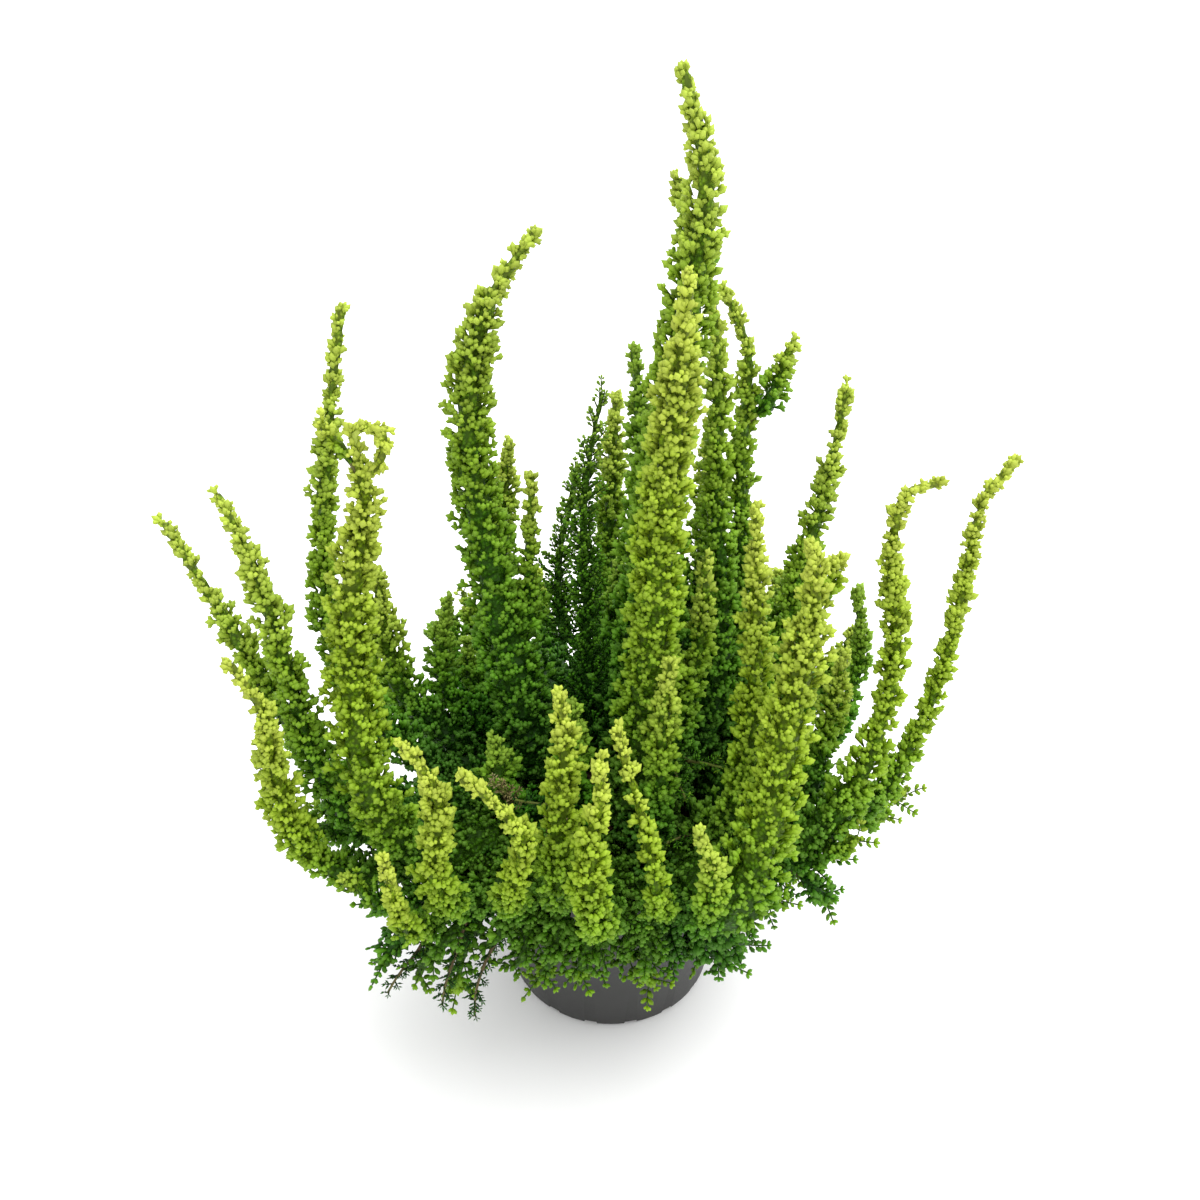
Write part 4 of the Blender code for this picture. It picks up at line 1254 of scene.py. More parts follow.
class Draw(Enum):
    """A random number that is drawn apart from the others: its seed, its least and its most."""

    AROUND = (1, -0.35, 0.35)
    LEAN = (2, 0.75, 1.25)
    LENGTH = (3, 0.66, 1.15)
    SHOOT_SEED = (4, 0.0, 1.0)
    LEAF_SEED = (5, 0.0, 1.0)
    CROSSING = (6, math.pi / 2 - 0.22, math.pi / 2 + 0.22)
    TILT = (7, -0.18, 0.18)
    LEAF_SIZE = (8, 0.8, 1.15)
    TIP_SIZE = (8, 0.8, 1.2)
    ROUGHNESS = (9, -0.16, 0.16)
    CORE_SHOOT = (10, 0.0, 1.0)
    SHIFT = (11, -0.5 * MM, 0.5 * MM)
    CORE_LEAF = (12, 0.0, 1.0)
    ROLL = (13, -math.radians(80), math.radians(80))

    def links(self, axes: int = 0) -> dict[str, Any]:
        """Returns what a random node's inputs are set to, for a number or for a vector of some axes."""
        seed, least, most = self.value
        return {"Min": (least,) * axes if axes else least, "Max": (most,) * axes if axes else most,
                "Seed": seed}


@dataclass(frozen=True)
class Blade:
    """One blade of a leafy shape: its lean, its turn about +Z, its foot's height, its length and width."""

    lean: float = 0.0
    spin: float = 0.0
    foot: float = 0.0
    length: float = 1.0
    width: float = 1.0


@dataclass(frozen=True)
class LeafShape:
    """A few blunt leaves that are set out together, a unit long in all, their stem's tip towards +Y.

    Each leaf is closed, with rings given as a height and a width, each turned half a step from the one
    below, which gives it a keel and facets.
    """

    name: str
    blades: tuple[Blade, ...]
    sides: int
    rings: tuple[tuple[float, float], ...]
    start: float = 0.25

    def leaf(self, bm: bmesh.types.BMesh, blade: Blade, layer: Any) -> None:
        """Adds one leaf of the shape.

        Args:
            bm: the bmesh to add to.
            blade: which leaf.
            layer: the bmesh's layer that holds how far out each point is.
        """
        turn = Matrix.Rotation(blade.spin, 3, "Z") @ Matrix.Rotation(-blade.lean, 3, "X")
        rows = [[(0.0, 0.0, 0.0)]]
        for place, (height, width) in enumerate(self.rings):
            angles = [math.tau * ((k + place / 2) / self.sides + self.start) for k in range(self.sides)]
            radius, rise = blade.width * width / 2, height * blade.length
            rows.append([(radius * math.cos(a), radius * math.sin(a), rise) for a in angles])
        rows.append([(0.0, 0.0, blade.length)])
        verts = []
        for row in rows:
            verts.append([bm.verts.new(turn @ Vector(spot) + Vector((0, 0, blade.foot))) for spot in row])
            for vert in verts[-1]:
                vert[layer] = max(0.0, vert.co.z)
        for low, high in zip(verts, verts[1:]):
            for k in range(self.sides):
                following = (k + 1) % self.sides
                if len(low) > 1:
                    bm.faces.new((low[k], low[following], high[k % len(high)]))
                if len(high) > 1:
                    bm.faces.new((high[k], low[following % len(low)], high[following]))

    def make(self) -> bpy.types.Object:
        """Makes the shape, for the trees to set out copies of.

        Returns:
            An object that holds it.
        """
        bm = bmesh.new()
        layer = bm.verts.layers.float.new("tip")
        for blade in self.blades:
            self.leaf(bm, blade, layer)
        mesh = bpy.data.meshes.new(self.name)
        bm.to_mesh(mesh)
        bm.free()
        return new_object(self.name, mesh)


def pair_of(lean: float) -> tuple[Blade, Blade]:
    """Returns a pair of blades that lean out on both sides by an angle in degrees."""
    return Blade(math.radians(lean)), Blade(math.radians(-lean))


TUFT = LeafShape(
    "tuft",
    (Blade(foot=-0.45, length=1.42, width=0.98),
     *(Blade(math.radians(44), math.radians(spin), 0.22, 0.66, 0.7) for spin in (70, -70))),
    4, ((0.75, 0.52),))
SINGLE_TIP = LeafShape("single_tip", (Blade(),), 4, ((0.3, 0.46), (0.72, 0.54)))
TIP_PAIR = LeafShape("tip_pair", pair_of(48), 4, ((0.3, 0.46), (0.72, 0.54)))
SINGLE_BEAD = LeafShape("single_bead", (Blade(),), 4, ((0.7, 0.5),))
BEAD_PAIR = LeafShape("bead_pair", pair_of(50), 4, ((0.7, 0.5),))
SINGLE_NEEDLE = LeafShape("single_needle", (Blade(),), 3, ((0.5, 0.34),))
NEEDLE_PAIR = LeafShape("needle_pair", pair_of(56), 3, ((0.5, 0.34),))


@dataclass
class Seats:
    """Where a line's shoots sit: what gives their points, which stay, their turn, their way and length."""

    points: Any
    staying: Any
    turn: Any
    ahead: Any
    length: Any


@dataclass
class LeafyStem:
    """The rule that clothes a line: a bare foot, a core, and leafy tips or side shoots round it.

    Radii, steps and the size of a bunch are millimetres, and the rest are shares.
    """

    shoot_steps: int = 4
    shoot_sag: float = -0.05
    shoot_lift: float = 0.16
    core_sides: int = 9
    core_step: float = 2.2
    # How pale the core's outermost points get: a painted highlight on its bumps
    core_tip: float = 0.4
    leafy_from: float = 0.5
    axis_radius: float = 0.34
    axis_sides: int = 3
    least_reach: float = 0.6
    least_full: float = 0.4
    upright_from: float = 0.85
    upright: float = 0.6
    underneath: float = -0.7
    under_length: float = 0.6
    outreach: float = 1.5
    bunch: float = 9.0
    bunch_range: tuple[float, float] = (0.3, 0.7)
    bunch_swell: tuple[float, float] = (0.796, 1.136)
    shoot_tint_share: float = 0.7
    tip_least: float = 0.75
    narrow_from: float = 0.55
    narrow: float = 0.75

    INPUTS = (
        *((name, "Float") for name in (
            "Shoot pitch", "Shoot lean", "Full reach", "Shade loss", "Leaf pitch", "Leaf length",
            "Pair turn", "Core share", "Core depth", "Bare share")),
        ("Seed", "Int"), ("With stem", "Bool"), ("Side leaves", "Object"), ("End leaves", "Object"),
        ("Leaf material", "Material"), ("Bark material", "Material"))

    def join(self, tree: bpy.types.NodeTree, parts: Sequence[bpy.types.Node]) -> bpy.types.Node:
        """Adds a node that joins the geometry of others.

        Args:
            tree: the tree to add to.
            parts: the others.

        Returns:
            The node.
        """
        whole = add(tree, "GeometryNodeJoinGeometry")
        for part in parts:
            tree.links.new(output(part), whole.inputs[0])
        return whole

    def bunching(self, tree: bpy.types.NodeTree, place: bpy.types.Node) -> bpy.types.Node:
        """Adds what says how far the leaves stand out at a place: they do so in bunches.

        Args:
            tree: the tree to add to.
            place: the node that gives the place.

        Returns:
            The node that gives the share.
        """
        swell = add(tree, NOISE, {"Vector": place, "Scale": 1 / (self.bunch * MM), "Detail": 1.0})
        (low, high), (least, most) = self.bunch_range, self.bunch_swell
        return add(tree, RANGE, {
            "Value": swell, "From Min": low, "From Max": high, "To Min": least, "To Max": most})

    def core(self, tree: bpy.types.NodeTree, of: dict[str, Any], line: bpy.types.Node) -> bpy.types.Node:
        """Adds the bare foot and the core as one tube, thick and uneven where the line is leafy.

        Args:
            tree: the tree to add to.
            of: the tree's inputs.
            line: the node that gives the line.

        Returns:
            The node that gives the tube.
        """
        fine = add(tree, RESAMPLE, {"Curve": line, "Length": self.core_step * MM}, mode="LENGTH")
        ring = add(tree, "GeometryNodeCurvePrimitiveCircle", {"Resolution": self.core_sides, "Radius": 1.0})
        reach = add(tree, READ, {"Name": "reach"})
        packed = add(tree, MATH, {0: reach, 1: of["Core share"]}, operation="MULTIPLY")
        deep = add(tree, MATH, {0: reach, 1: of["Core depth"]}, operation="SUBTRACT")
        packed = add(tree, MATH, {0: packed, 1: deep}, operation="MAXIMUM")
        thick = add(tree, MATH, {0: add(tree, READ, {"Name": "bark"}), 1: packed}, operation="MAXIMUM")
        tube = add(tree, "GeometryNodeCurveToMesh",
                   {"Curve": fine, "Profile Curve": ring, "Scale": thick, "Fill Caps": True})
        grown = add(tree, COMPARE, {"A": packed, "B": self.leafy_from * MM}, operation="GREATER_THAN")
        normal = add(tree, "GeometryNodeInputNormal")
        swell = self.bunching(tree, add(tree, POSITION))
        swell = add(tree, MATH, {0: swell, 1: 1.0}, operation="SUBTRACT")
        rough = add(tree, LOT, Draw.ROUGHNESS.links())
        bulge = add(tree, MATH, {0: swell, 1: rough}, operation="ADD")
        outwards = add(tree, VECTOR, {
            0: normal, "Scale": add(tree, MATH, {0: bulge, 1: packed}, operation="MULTIPLY")},
            operation="SCALE")
        shift = add(tree, LOT, Draw.SHIFT.links(3), data_type="FLOAT_VECTOR")
        moved = add(tree, VECTOR, {0: outwards, 1: shift}, operation="ADD")
        _, least, most = Draw.ROUGHNESS.value
        # The points pushed furthest out take the pale colour of leaf ends, a painted highlight on the core's
        # bumps
        tip = add(tree, RANGE, {
            "Value": rough, "From Min": least, "From Max": most, "To Max": self.core_tip})
        for name, value in (("shoot_seed", add(tree, LOT, Draw.CORE_SHOOT.links())),
                            ("leaf_seed", add(tree, LOT, Draw.CORE_LEAF.links())), ("tip", tip)):
            tube = add(tree, STORE, {"Geometry": tube, "Name": name, "Value": value})
        tube = add(tree, "GeometryNodeSetPosition", {"Geometry": tube, "Selection": grown, "Offset": moved})
        tube = add(tree, "GeometryNodeSetShadeSmooth", {"Geometry": tube, "Shade Smooth": False})
        tube = add(tree, DRESS, {"Geometry": tube, "Material": of["Bark material"]})
        tube = add(tree, DRESS, {"Geometry": tube, "Selection": grown, "Material": of["Leaf material"]})
        return add(tree, "GeometryNodeSwitch", {"Switch": of["With stem"], "True": tube},
                   input_type="GEOMETRY")

    def seats(self, tree: bpy.types.NodeTree, of: dict[str, Any], line: bpy.types.Node) -> Seats:
        """Finds where shoots sit on a line: they climb round it and are shorter on its under side.

        Args:
            tree: the tree to add to.
            of: the tree's inputs.
            line: the node that gives the line.

        Returns:
            What gives the seats.
        """
        stations = add(tree, RESAMPLE, {"Curve": line, "Length": of["Shoot pitch"]}, mode="LENGTH")
        points = add(tree, "GeometryNodeCurveToPoints", {"Curve": stations}, mode="EVALUATED")
        reach = add(tree, READ, {"Name": "reach"})

        # Which there are: fewer where the line is slim or shaded, none where it is bare
        fullness = add(tree, MATH, {0: reach, 1: of["Full reach"]}, operation="DIVIDE", use_clamp=True)
        fullness = add(tree, MATH, {0: fullness, 1: self.least_full}, operation="MAXIMUM")
        lost = add(tree, MATH, {0: add(tree, READ, {"Name": "shade"}), 1: of["Shade loss"]},
                   operation="MULTIPLY")
        kept = add(tree, MATH, {0: fullness, 1: lost}, operation="SUBTRACT")
        drawn = add(tree, LOT, {"Seed": of["Seed"]})
        wanted = add(tree, COMPARE, {"A": drawn, "B": kept}, operation="LESS_THAN")
        leafy = add(tree, COMPARE, {"A": reach, "B": self.least_reach * MM}, operation="GREATER_THAN")
        staying = add(tree, "FunctionNodeBooleanMath", {0: wanted, 1: leafy}, operation="AND")

        # Which way they point: by the golden angle round the line, and more upright towards its tip
        climb = add(tree, MATH, {0: add(tree, "GeometryNodeInputIndex"), 1: GOLDEN_ANGLE},
                    operation="MULTIPLY")
        around = add(tree, MATH, {0: climb, 1: add(tree, LOT, Draw.AROUND.links())}, operation="ADD")
        upright = add(tree, RANGE, {
            "Value": add(tree, READ, {"Name": "age"}), "From Min": self.upright_from,
            "To Min": 1.0, "To Max": self.upright})
        lean = add(tree, MATH, {0: of["Shoot lean"], 1: upright}, operation="MULTIPLY")
        lean = add(tree, MATH, {0: lean, 1: add(tree, LOT, Draw.LEAN.links())}, operation="MULTIPLY")
        euler = add(tree, COMBINE, {"X": lean, "Z": around})
        turn = add(tree, TURN, {
            "Rotation": output(points, "Rotation"),
            "Rotate By": add(tree, "FunctionNodeEulerToRotation", {"Euler": euler})},
            rotation_space="LOCAL")
        roll = add(tree, COMBINE, {"Z": add(tree, LOT, Draw.ROLL.links())})
        turn = add(tree, TURN, {
            "Rotation": turn, "Rotate By": add(tree, "FunctionNodeEulerToRotation", {"Euler": roll})},
            rotation_space="LOCAL")

        # How long they are: they fill the line's reach, in bunches, and less so underneath
        ahead = add(tree, "FunctionNodeRotateVector", {"Vector": (0.0, 0.0, 1.0), "Rotation": turn})
        rise = add(tree, SEPARATE, {0: ahead})
        along = add(tree, SEPARATE, {0: output(points, "Tangent")})
        carried = add(tree, MATH, {
            0: output(along, "Z"), 1: add(tree, MATH, {0: lean}, operation="COSINE")},
            operation="MULTIPLY")
        sideways = add(tree, MATH, {0: output(rise, "Z"), 1: carried}, operation="SUBTRACT")
        lit = add(tree, RANGE, {
            "Value": sideways, "From Min": self.underneath, "From Max": 0.0,
            "To Min": self.under_length, "To Max": 1.0})
        length = add(tree, MATH, {0: reach, 1: self.outreach}, operation="MULTIPLY")
        there = add(tree, VECTOR, {0: ahead, "Scale": reach}, operation="SCALE")
        there = add(tree, VECTOR, {0: add(tree, POSITION), 1: there}, operation="ADD")
        for share in (lit, self.bunching(tree, there), add(tree, LOT, Draw.LENGTH.links())):
            length = add(tree, MATH, {0: length, 1: share}, operation="MULTIPLY")
        return Seats(points, staying, turn, ahead, length)

    def tips(self, tree: bpy.types.NodeTree, of: dict[str, Any], seats: Seats) -> bpy.types.Node:
        """Adds one leafy tip at each seat, its end as far from the line as the seat's length.

        Args:
            tree: the tree to add to.
            of: the tree's inputs.
            seats: where they sit.

        Returns:
            The node that gives the tips.
        """
        size = add(tree, LOT, Draw.TIP_SIZE.links())
        long = add(tree, MATH, {0: of["Leaf length"], 1: size}, operation="MULTIPLY")
        least = add(tree, MATH, {0: long, 1: self.tip_least}, operation="MULTIPLY")
        whole = add(tree, MATH, {0: seats.length, 1: least}, operation="MAXIMUM")
        long = add(tree, MATH, {0: long, 1: whole}, operation="MINIMUM")
        start = add(tree, MATH, {0: whole, 1: long}, operation="SUBTRACT")
        tinted = add(tree, NOISE, {
            "Vector": add(tree, POSITION),
            "Scale": 1 / (self.shoot_tint_share * self.bunch * MM)})
        points = seats.points
        for name, value in (("shoot_seed", tinted), ("leaf_seed", add(tree, LOT, Draw.LEAF_SEED.links())),
                            ("long", long), ("out", 1.0)):
            points = add(tree, STORE, {"Geometry": points, "Name": name, "Value": value})
        points = add(tree, STORE, {"Geometry": points, "Name": "turn", "Value": seats.turn},
                     data_type="QUATERNION")
        points = add(tree, STORE, {"Geometry": points, "Name": "kept", "Value": seats.staying},
                     data_type="BOOLEAN")
        offset = add(tree, VECTOR, {0: seats.ahead, "Scale": start}, operation="SCALE")
        points = add(tree, "GeometryNodeSetPosition", {"Geometry": points, "Offset": offset})
        leaf = add(tree, "GeometryNodeObjectInfo", {"Object": of["End leaves"]})
        made = add(tree, INSTANCE, {
            "Points": points,
            "Selection": add(tree, READ, {"Name": "kept"}, data_type="BOOLEAN"),
            "Instance": output(leaf, "Geometry"),
            "Rotation": add(tree, READ, {"Name": "turn"}, data_type="QUATERNION"),
            "Scale": add(tree, READ, {"Name": "long"})})
        return add(tree, REALIZE, {"Geometry": made})

    def shoots(self, tree: bpy.types.NodeTree, seats: Seats) -> bpy.types.Node:
        """Adds a side shoot at each seat, as a curve that bends upwards.

        Args:
            tree: the tree to add to.
            seats: where they sit.

        Returns:
            The node that gives the shoots.
        """
        seeded = add(tree, STORE, {
            "Geometry": seats.points, "Name": "shoot_seed",
            "Value": add(tree, LOT, Draw.SHOOT_SEED.links())})
        shoot = add(tree, "GeometryNodeCurveQuadraticBezier", {
            "Resolution": self.shoot_steps, "Start": (0.0, 0.0, 0.0), "Middle": (0.0, self.shoot_sag, 0.5),
            "End": (0.0, self.shoot_lift, 1.0)})
        made = add(tree, INSTANCE, {
            "Points": seeded, "Selection": seats.staying, "Instance": shoot, "Rotation": seats.turn,
            "Scale": seats.length})
        return add(tree, REALIZE, {"Geometry": made})

    def leaves(self, tree: bpy.types.NodeTree, of: dict[str, Any],
               carriers: bpy.types.Node) -> bpy.types.Node:
        """Adds leaves in pairs along curves, and one at the end of each.

        Args:
            tree: the tree to add to.
            of: the tree's inputs.
            carriers: the node that gives the curves.

        Returns:
            The node that gives the leaves.
        """
        nodes = add(tree, RESAMPLE, {"Curve": carriers, "Length": of["Leaf pitch"]}, mode="LENGTH")
        spline = add(tree, "GeometryNodeSplineParameter")
        ends = add(tree, "GeometryNodeCurveEndpointSelection", {"Start Size": 0, "End Size": 1})
        for name, value in (("rank", output(spline, "Index")),
                            ("out", output(spline, "Factor")), ("last", ends)):
            nodes = add(tree, STORE, {"Geometry": nodes, "Name": name, "Value": value})
        seats = add(tree, "GeometryNodeCurveToPoints", {"Curve": nodes}, mode="EVALUATED")
        seeded = add(tree, STORE, {
            "Geometry": seats, "Name": "leaf_seed", "Value": add(tree, LOT, Draw.LEAF_SEED.links())})
        out = add(tree, READ, {"Name": "out"})
        crossed = add(tree, MATH, {0: add(tree, READ, {"Name": "rank"}), 1: of["Pair turn"]},
                      operation="MULTIPLY")
        crossed = add(tree, MATH, {0: crossed, 1: add(tree, LOT, Draw.CROSSING.links())}, operation="ADD")
        euler = add(tree, COMBINE, {"X": add(tree, LOT, Draw.TILT.links()), "Z": crossed})
        turn = add(tree, TURN, {
            "Rotation": output(seats, "Rotation"),
            "Rotate By": add(tree, "FunctionNodeEulerToRotation", {"Euler": euler})},
            rotation_space="LOCAL")
        narrow = add(tree, RANGE, {
            "Value": out, "From Min": self.narrow_from, "To Min": 1.0, "To Max": self.narrow})
        size = add(tree, MATH, {0: add(tree, LOT, Draw.LEAF_SIZE.links()), 1: narrow}, operation="MULTIPLY")
        long = add(tree, MATH, {0: of["Leaf length"], 1: size}, operation="MULTIPLY")
        outer = add(tree, COMPARE, {"A": out, "B": of["Bare share"]}, operation="GREATER_THAN")
        at_end = add(tree, COMPARE, {"A": add(tree, READ, {"Name": "last"}), "B": 0.5},
                     operation="GREATER_THAN")
        made = []
        for name, chosen in (("Side leaves", outer), ("End leaves", at_end)):
            leaf = add(tree, "GeometryNodeObjectInfo", {"Object": of[name]})
            made.append(add(tree, INSTANCE, {
                "Points": seeded, "Selection": chosen, "Instance": output(leaf, "Geometry"),
                "Rotation": turn, "Scale": long}))
        return add(tree, REALIZE, {"Geometry": self.join(tree, made)})

    def build(self, wear: Wear) -> bpy.types.NodeTree:
        """Builds the geometry tree for one way of clothing a line.

        Args:
            wear: the way.

        Returns:
            The tree.
        """
        tree, of = new_tree("stem_" + wear.value, self.INPUTS)
        line = add(tree, "GeometryNodeMeshToCurve", {"Mesh": of["Geometry"]})
        seats = self.seats(tree, of, line)
        if wear is Wear.PACKED:
            green = self.tips(tree, of, seats)
        else:
            shoots = self.shoots(tree, seats)
            coarse = add(tree, RESAMPLE, {"Curve": shoots, "Count": 2})
            ring = add(tree, "GeometryNodeCurvePrimitiveCircle",
                       {"Resolution": self.axis_sides, "Radius": self.axis_radius * MM})
            twigs = add(tree, "GeometryNodeCurveToMesh",
                        {"Curve": coarse, "Profile Curve": ring, "Fill Caps": True})
            green = self.join(tree, (twigs, self.leaves(tree, of, shoots)))
        green = add(tree, "GeometryNodeSetShadeSmooth", {"Geometry": green})
        green = add(tree, DRESS, {"Geometry": green, "Material": of["Leaf material"]})
        whole = self.join(tree, (self.core(tree, of, line), green))
        whole = add(tree, REALIZE, {"Geometry": whole})
        add(tree, "NodeGroupOutput", {"Geometry": whole})
        return tree


@dataclass
class Skirt:
    """Short sprays that hang over the rim between the frame's own, from the stems nearest to them."""

    count: int = 42
    over: tuple[float, float] = (70.0, 109.0)
    bend: tuple[float, float] = (79.0, 101.0)
    end: tuple[float, float] = (79.0, 89.0)
    spread: float = 5.0
    spread_rate: float = 7.0
    shuffle: float = 0.3
    shuffle_rate: float = 5.0
    farthest: float = 32.0
    half_width: tuple[float, float] = (7.5, 5.5)

    def hang(self, bush: Bush) -> None:
        """Adds the sprays to a bush.

        Args:
            bush: the bush, whose stems are drawn.
        """
        stems = [place for place, branch in enumerate(bush.branches) if branch.parent < 0]
        for k in range(self.count):
            turn = math.tau * (k + self.shuffle * math.sin(self.shuffle_rate * k)) / self.count
            lower = self.spread * math.sin(self.spread_rate * k)
            ring = [(reach * math.cos(turn), reach * math.sin(turn), height + fall)
                    for (reach, height), fall in ((self.over, 0.0), (self.bend, 0.0), (self.end, lower))]
            gaps = [np.linalg.norm(bush.branches[n].line - ring[0], axis=1) for n in stems]
            parent = stems[int(np.argmin([gap.min() for gap in gaps]))]
            line = bush.branches[parent].line
            nearest = np.linalg.norm(line - ring[0], axis=1)
            if nearest.min() > self.farthest:
                continue
            route = [tuple(line[int(np.argmin(nearest))])] + ring
            bush.branches.append(Branch(
                bush.branches[parent].family, bush.smooth_curve(route), self.half_width, parent,
                ages=bush.hanging_ages))


@dataclass
class LoneSprays:
    """Sprays placed one by one: a curled young one, and old or dry ones with a row of needles each side."""

    half_width: tuple[float, float] = (3.8, 2.6)
    young_half_width: tuple[float, float] = (3.6, 3.2)
    young_ages: tuple[float, float] = (0.9, 1.0)
    old_ages: tuple[float, float] = (0.3, 0.6)
    sprays: tuple[tuple[str, Tint | None, tuple[tuple[float, float, float], ...]], ...] = (
        ("stem_left_column", None, (
            (-85, -36, 288), (-79.5, -37, 294), (-74.5, -37, 289), (-76, -37, 282), (-79, -37, 277))),
        ("stem_crown_left", Tint.DRY, ((-38, -46, 138), (-40, -54, 150), (-45, -58, 160))),
        ("stem_front_middle", Tint.DRY, ((-22, -62, 138), (-20, -66, 150), (-17, -70, 158))),
        ("stem_crown_middle", Tint.DARK, ((-18, -46, 138), (-26, -56, 146), (-36, -60, 152))),
        ("stem_front_right_pale", Tint.GREEN, ((31, -52, 126), (26, -60, 133), (20, -67, 137))),
        ("stem_middle_right", Tint.GREEN, ((24, -38, 146), (25, -48, 149), (27, -57, 150))),
        ("stem_middle_right", Tint.GREEN, ((28, -36, 150), (34, -43, 155), (41, -48, 157))),
        ("stem_front_left", Tint.DARK, ((-58, -88, 102), (-62, -95, 93), (-64, -97, 82))),
        ("stem_front_arch", Tint.DARK, ((-48, -92, 98), (-51, -97, 89), (-52, -98, 77))),
        ("stem_front_left_low", Tint.DARK, ((-72, -88, 103), (-80, -94, 95), (-84, -96, 88))),
    )

    def hang(self, bush: Bush) -> None:
        """Adds the sprays to a bush.

        Args:
            bush: the bush, whose stems are drawn.
        """
        names = list(STEMS)
        for name, tint, route in self.sprays:
            family = names.index(name)
            parent = next(n for n, b in enumerate(bush.branches) if b.family == family and b.parent < 0)
            line = bush.branches[parent].line
            nearest = line[int(np.argmin(np.linalg.norm(line - np.array(route[0], float), axis=1)))]
            width = self.half_width if tint else self.young_half_width
            bush.branches.append(Branch(
                family, bush.smooth_curve([tuple(nearest), *route]), width, parent, fishbone=tint,
                ages=self.old_ages if tint else self.young_ages))


@dataclass(frozen=True)
class Habit:
    """How densely and in what way a line is clothed, in millimetres, radians and shares."""

    wear: Wear
    side_leaves: LeafShape
    end_leaves: LeafShape
    shoot_pitch: float
    shoot_lean: float
    full_reach: float
    leaf_length: float
    core_share: float
    shade_loss: float
    leaf_pitch: float = 2.4
    core_depth: float = 100.0
    pair_turn: float = math.radians(12)
    bare_share: float = 0.12

    def values(self) -> dict[str, float]:
        """Returns what the leafy stem's inputs are set to for this habit."""
        return {
            "Shoot pitch": self.shoot_pitch * MM, "Shoot lean": self.shoot_lean,
            "Full reach": self.full_reach * MM, "Shade loss": self.shade_loss,
            "Leaf pitch": self.leaf_pitch * MM, "Leaf length": self.leaf_length * MM,
            "Pair turn": self.pair_turn, "Core share": self.core_share, "Core depth": self.core_depth * MM,
            "Bare share": self.bare_share}


PACKED_HABIT = Habit(Wear.PACKED, TUFT, TUFT, 0.26, math.radians(54), 9.0, 5.2, 0.38, 0.4, core_depth=4.3)
BEADED_HABIT = Habit(
    Wear.FEATHERED, BEAD_PAIR, SINGLE_BEAD, 0.85, math.radians(50), 6.0, 3.3, 0.24, 0.2, leaf_pitch=1.9)
FISHBONE_HABIT = Habit(
    Wear.FEATHERED, NEEDLE_PAIR, SINGLE_NEEDLE, 1.5, math.radians(60), 1.0, 2.6, 0.0, 0.0, leaf_pitch=1.1,
    bare_share=0.05)
INNER_HABIT = Habit(
    Wear.FEATHERED, TIP_PAIR, SINGLE_TIP, 2.5, math.radians(54), 4.0, 3.4, 0.0, 0.0, leaf_pitch=2.5)


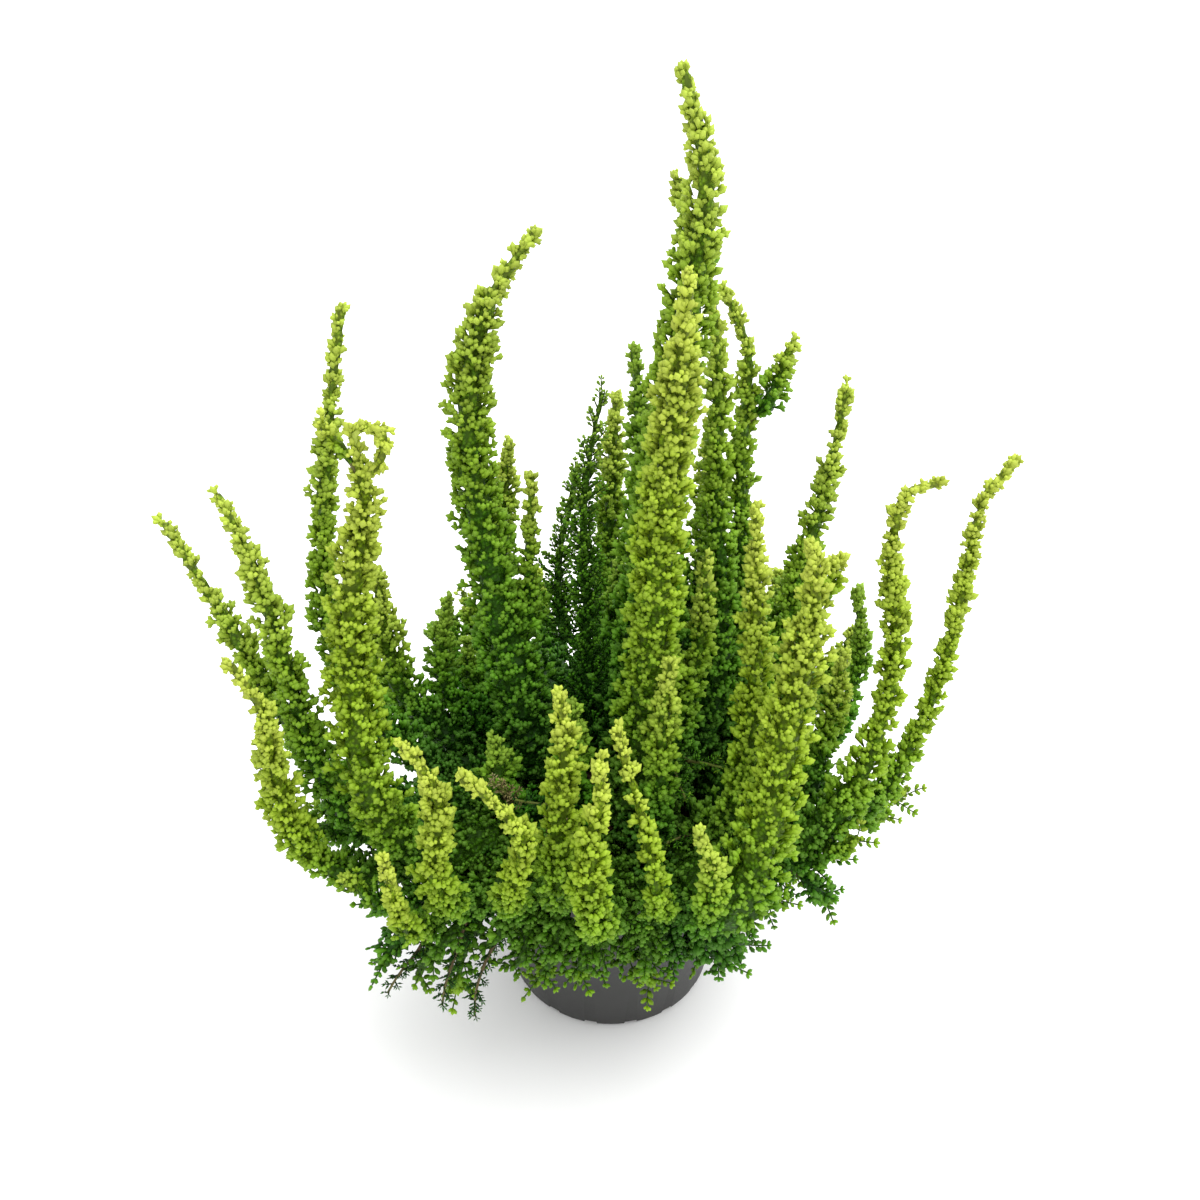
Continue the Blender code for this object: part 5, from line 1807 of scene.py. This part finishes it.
@dataclass
class Heather:
    """All the stems of the plant, each a piece that stands for its own node."""

    bush: Bush
    foot_bark: float = 1.5
    spray_bark: float = 1.0
    tip_bark: float = 0.45
    crowd_range: tuple[float, float] = (10.0, 46.0)
    old_reach: float = 11.0
    old_from: float = 0.3
    old_within: float = 100.0
    old_fade: float = 20.0
    old_rise: float = 2.5
    old_foot: float = 5.0
    bark_taper: float = 1.3
    low_reach: float = 7.0
    low_below: float = 155.0
    low_fade: float = 35.0
    # Painted shade under the crown, partly older growth: how much lower the age is low down
    low_shade_and_age: float = 0.25
    least_reach: float = 3.6
    flare: tuple[tuple[float, ...], tuple[float, ...]] = ((0.0, 0.45, 0.75, 1.0), (1.2, 1.15, 0.95, 0.85))
    beaded: tuple[str, ...] = ("stem_centre_feather",)

    SHAPES = (TUFT, TIP_PAIR, SINGLE_TIP, BEAD_PAIR, SINGLE_BEAD, NEEDLE_PAIR, SINGLE_NEEDLE)
    ONLY_FOR_MAKING = ("reach", "bark", "rank", "last", "long", "turn", "kept")

    def guide(self, family: int, crowd: list[np.ndarray], old: bool = False,
              fishbone: Tint | None = None) -> bpy.types.Object:
        """Draws the lines of one stem and its sprays as edges, with what the tree reads on each point.

        Args:
            family: the stem's place in the row of stems.
            crowd: for each branch, how crowded each of its points is.
            old: whether the lines are for the old sprays deep in the bush, not for this year's shoots.
            fishbone: the tint of the fishbone sprays that are wanted alone, or None for all the others.

        Returns:
            An object whose mesh is the edges.
        """
        points, edges = [], []
        values: dict[str, list[float]] = {name: [] for name in ("reach", "bark", "age", "shade")}
        for branch, near in zip(self.bush.branches, crowd):
            if branch.family != family or branch.fishbone is not fishbone:
                continue
            along = arc_lengths(branch.line)
            bare = self.bush.bare_length(branch) if fishbone is None else 0.0
            share = np.clip((along - bare) / (along[-1] - bare), 0, 1)
            is_stem = branch.parent < 0
            low, high = self.crowd_range
            shade = np.clip((near - low) / (high - low), 0, 1)
            reach = self.bush.width_at(branch, share)
            if fishbone is None:
                reach = np.maximum(reach * np.interp(share, *self.flare), self.least_reach)
            low_down = np.clip((self.low_below - branch.line[:, 2]) / self.low_fade, 0, 1)
            if old:
                inside = (self.old_within - np.linalg.norm(branch.line[:, :2], axis=1)) / self.old_fade
                reach = self.old_reach * np.clip((shade - self.old_from) * self.old_rise, 0, 1)
                reach = np.maximum(reach * np.clip(inside, 0, 1), self.low_reach * low_down)
                bare = min(bare, self.bush.hole_depth + self.old_foot)
            reach = np.where(along < bare, 0.0, reach) * MM
            thick = self.foot_bark if is_stem else self.spray_bark
            bark = (thick + (self.tip_bark - thick) * np.clip(share * self.bark_taper, 0, 1)) * MM
            age = share if is_stem else np.interp(share, (0, 1), branch.ages)
            # Lower down the age drops, so leaves and bark are darker: painted shade under the crown, partly
            # older, woodier growth
            age = np.maximum(age - self.low_shade_and_age * low_down, 0)
            start = len(points)
            points += [tuple(p * MM) for p in branch.line]
            edges += [(k, k + 1) for k in range(start, len(points) - 1)]
            values["reach"] += list(reach)
            values["bark"] += list(bark)
            values["age"] += list(age)
            values["shade"] += list(shade)
        mesh = bpy.data.meshes.new("guide")
        mesh.from_pydata(points, edges, [])
        for name, numbers in values.items():
            mesh.attributes.new(name, "FLOAT", "POINT").data.foreach_set("value", numbers)
        return new_object("guide", mesh)

    def build(self) -> list[bpy.types.Object]:
        """Makes all the stems.

        Returns:
            Their pieces.
        """
        trees = {wear: LeafyStem().build(wear) for wear in Wear}
        bark = BarkFinish().material()
        leaves = {tint: finish.material() for tint, finish in LEAF_FINISHES.items()}
        shapes = {shape.name: shape.make() for shape in self.SHAPES}
        crowd = self.bush.crowding()
        made = []
        for family, (name, stem) in enumerate(STEMS.items()):
            parts = []
            main = BEADED_HABIT if name in self.beaded else PACKED_HABIT
            green = Tint.OLD if stem.tint is Tint.DARK else stem.tint
            own = [branch for branch in self.bush.branches if branch.family == family]
            bones = dict.fromkeys(branch.fishbone for branch in own if branch.fishbone)
            for habit, tint, bone in ((main, green, None), (INNER_HABIT, green, None),
                                      *((FISHBONE_HABIT, bone, bone) for bone in bones)):
                part = self.guide(family, crowd, habit is INNER_HABIT, bone)
                grow(part, trees[habit.wear], habit.values() | {
                    "Seed": SEED + family, "With stem": habit is not INNER_HABIT,
                    "Side leaves": shapes[habit.side_leaves.name],
                    "End leaves": shapes[habit.end_leaves.name],
                    "Leaf material": leaves[tint], "Bark material": bark})
                parts.append(part)
            thing = parts[0]
            with bpy.context.temp_override(active_object=thing, selected_editable_objects=parts):
                bpy.ops.object.join()
            thing.name = name + "_leafy"
            attributes = thing.data.attributes
            for made_for in [a.name for a in attributes if a.name in self.ONLY_FOR_MAKING]:
                attributes.remove(attributes[made_for])
            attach(thing, BODY)
            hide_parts(name)
            made.append(thing)
        for shape in shapes.values():
            bpy.data.objects.remove(shape)
        return made


# Studio

@dataclass
class Studio:
    """A white table under a large soft light, and the camera that looks down at the plant.

    The camera's sizes are millimetres. The table's and the window's are metres.
    """

    lens: float = 39.0
    pitch: float = math.radians(35)
    eye: tuple[float, float, float] = (-4.7, -410.0, 487.0)
    sensor: float = 36.0
    nearest: float = 10.0
    floor_size: float = 8.0
    floor_colour: str = "#FAFAFA"
    floor_roughness: float = 0.9
    room_colour: str = "#FFFFFF"
    room_strength: float = 1.25
    window_size: float = 2.0
    window_energy: float = 36.0
    window_place: tuple[float, float, float] = (0.45, 0.15, 1.6)
    window_aim: tuple[float, float, float] = (0.0, 0.0, 0.15)

    def camera(self) -> None:
        """Places the camera."""
        data = bpy.data.cameras.new("camera")
        data.lens = self.lens
        data.sensor_width = self.sensor
        data.clip_start = self.nearest * MM
        eye = new_object("camera", data)
        eye.location = Vector(self.eye) * MM
        eye.rotation_euler = (math.pi / 2 - self.pitch, 0, 0)
        bpy.context.scene.camera = eye

    def table(self) -> None:
        """Lays the white surface that the pot stands on."""
        bm = bmesh.new()
        bmesh.ops.create_grid(bm, x_segments=1, y_segments=1, size=self.floor_size / 2)
        mesh = bpy.data.meshes.new("table")
        bm.to_mesh(mesh)
        bm.free()
        table = new_object("table", mesh)
        material, tree, shader = new_material("white_paper")
        feed(tree, shader, {"Base Color": linear(self.floor_colour), "Roughness": self.floor_roughness})
        table.data.materials.append(material)

    def lights(self) -> None:
        """Sets the soft light of the room and a large window light."""
        world = bpy.data.worlds.new("room")
        world.use_nodes = True
        feed(world.node_tree, world.node_tree.nodes["Background"], {
            "Color": linear(self.room_colour), "Strength": self.room_strength})
        bpy.context.scene.world = world
        data = bpy.data.lights.new("window", "AREA")
        data.shape = "SQUARE"
        data.size = self.window_size
        data.energy = self.window_energy
        window = new_object("window", data)
        window.location = self.window_place
        aim = Vector(self.window_aim) - window.location
        window.rotation_euler = aim.to_track_quat("-Z", "Y").to_euler()

    def build(self) -> None:
        """Makes the table, the lights and the camera."""
        self.table()
        self.lights()
        self.camera()
        bpy.context.scene.view_settings.view_transform = "Standard"


def main() -> None:
    """Builds the plant and the studio and writes how large the dressed part is."""
    bush = Bush()
    bush.draw()
    Skirt().hang(bush)
    LoneSprays().hang(bush)
    Studio().build()
    total = 0
    for piece in [Pot(POT).build(), SOIL.build(), *Heather(bush).build()]:
        piece.data.calc_loop_triangles()
        count = len(piece.data.loop_triangles)
        total += count
        log.info("%s: %d triangles", piece.name, count)
    log.info("in all: %d triangles", total)
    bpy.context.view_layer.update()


if __name__ == "__main__":
    main()
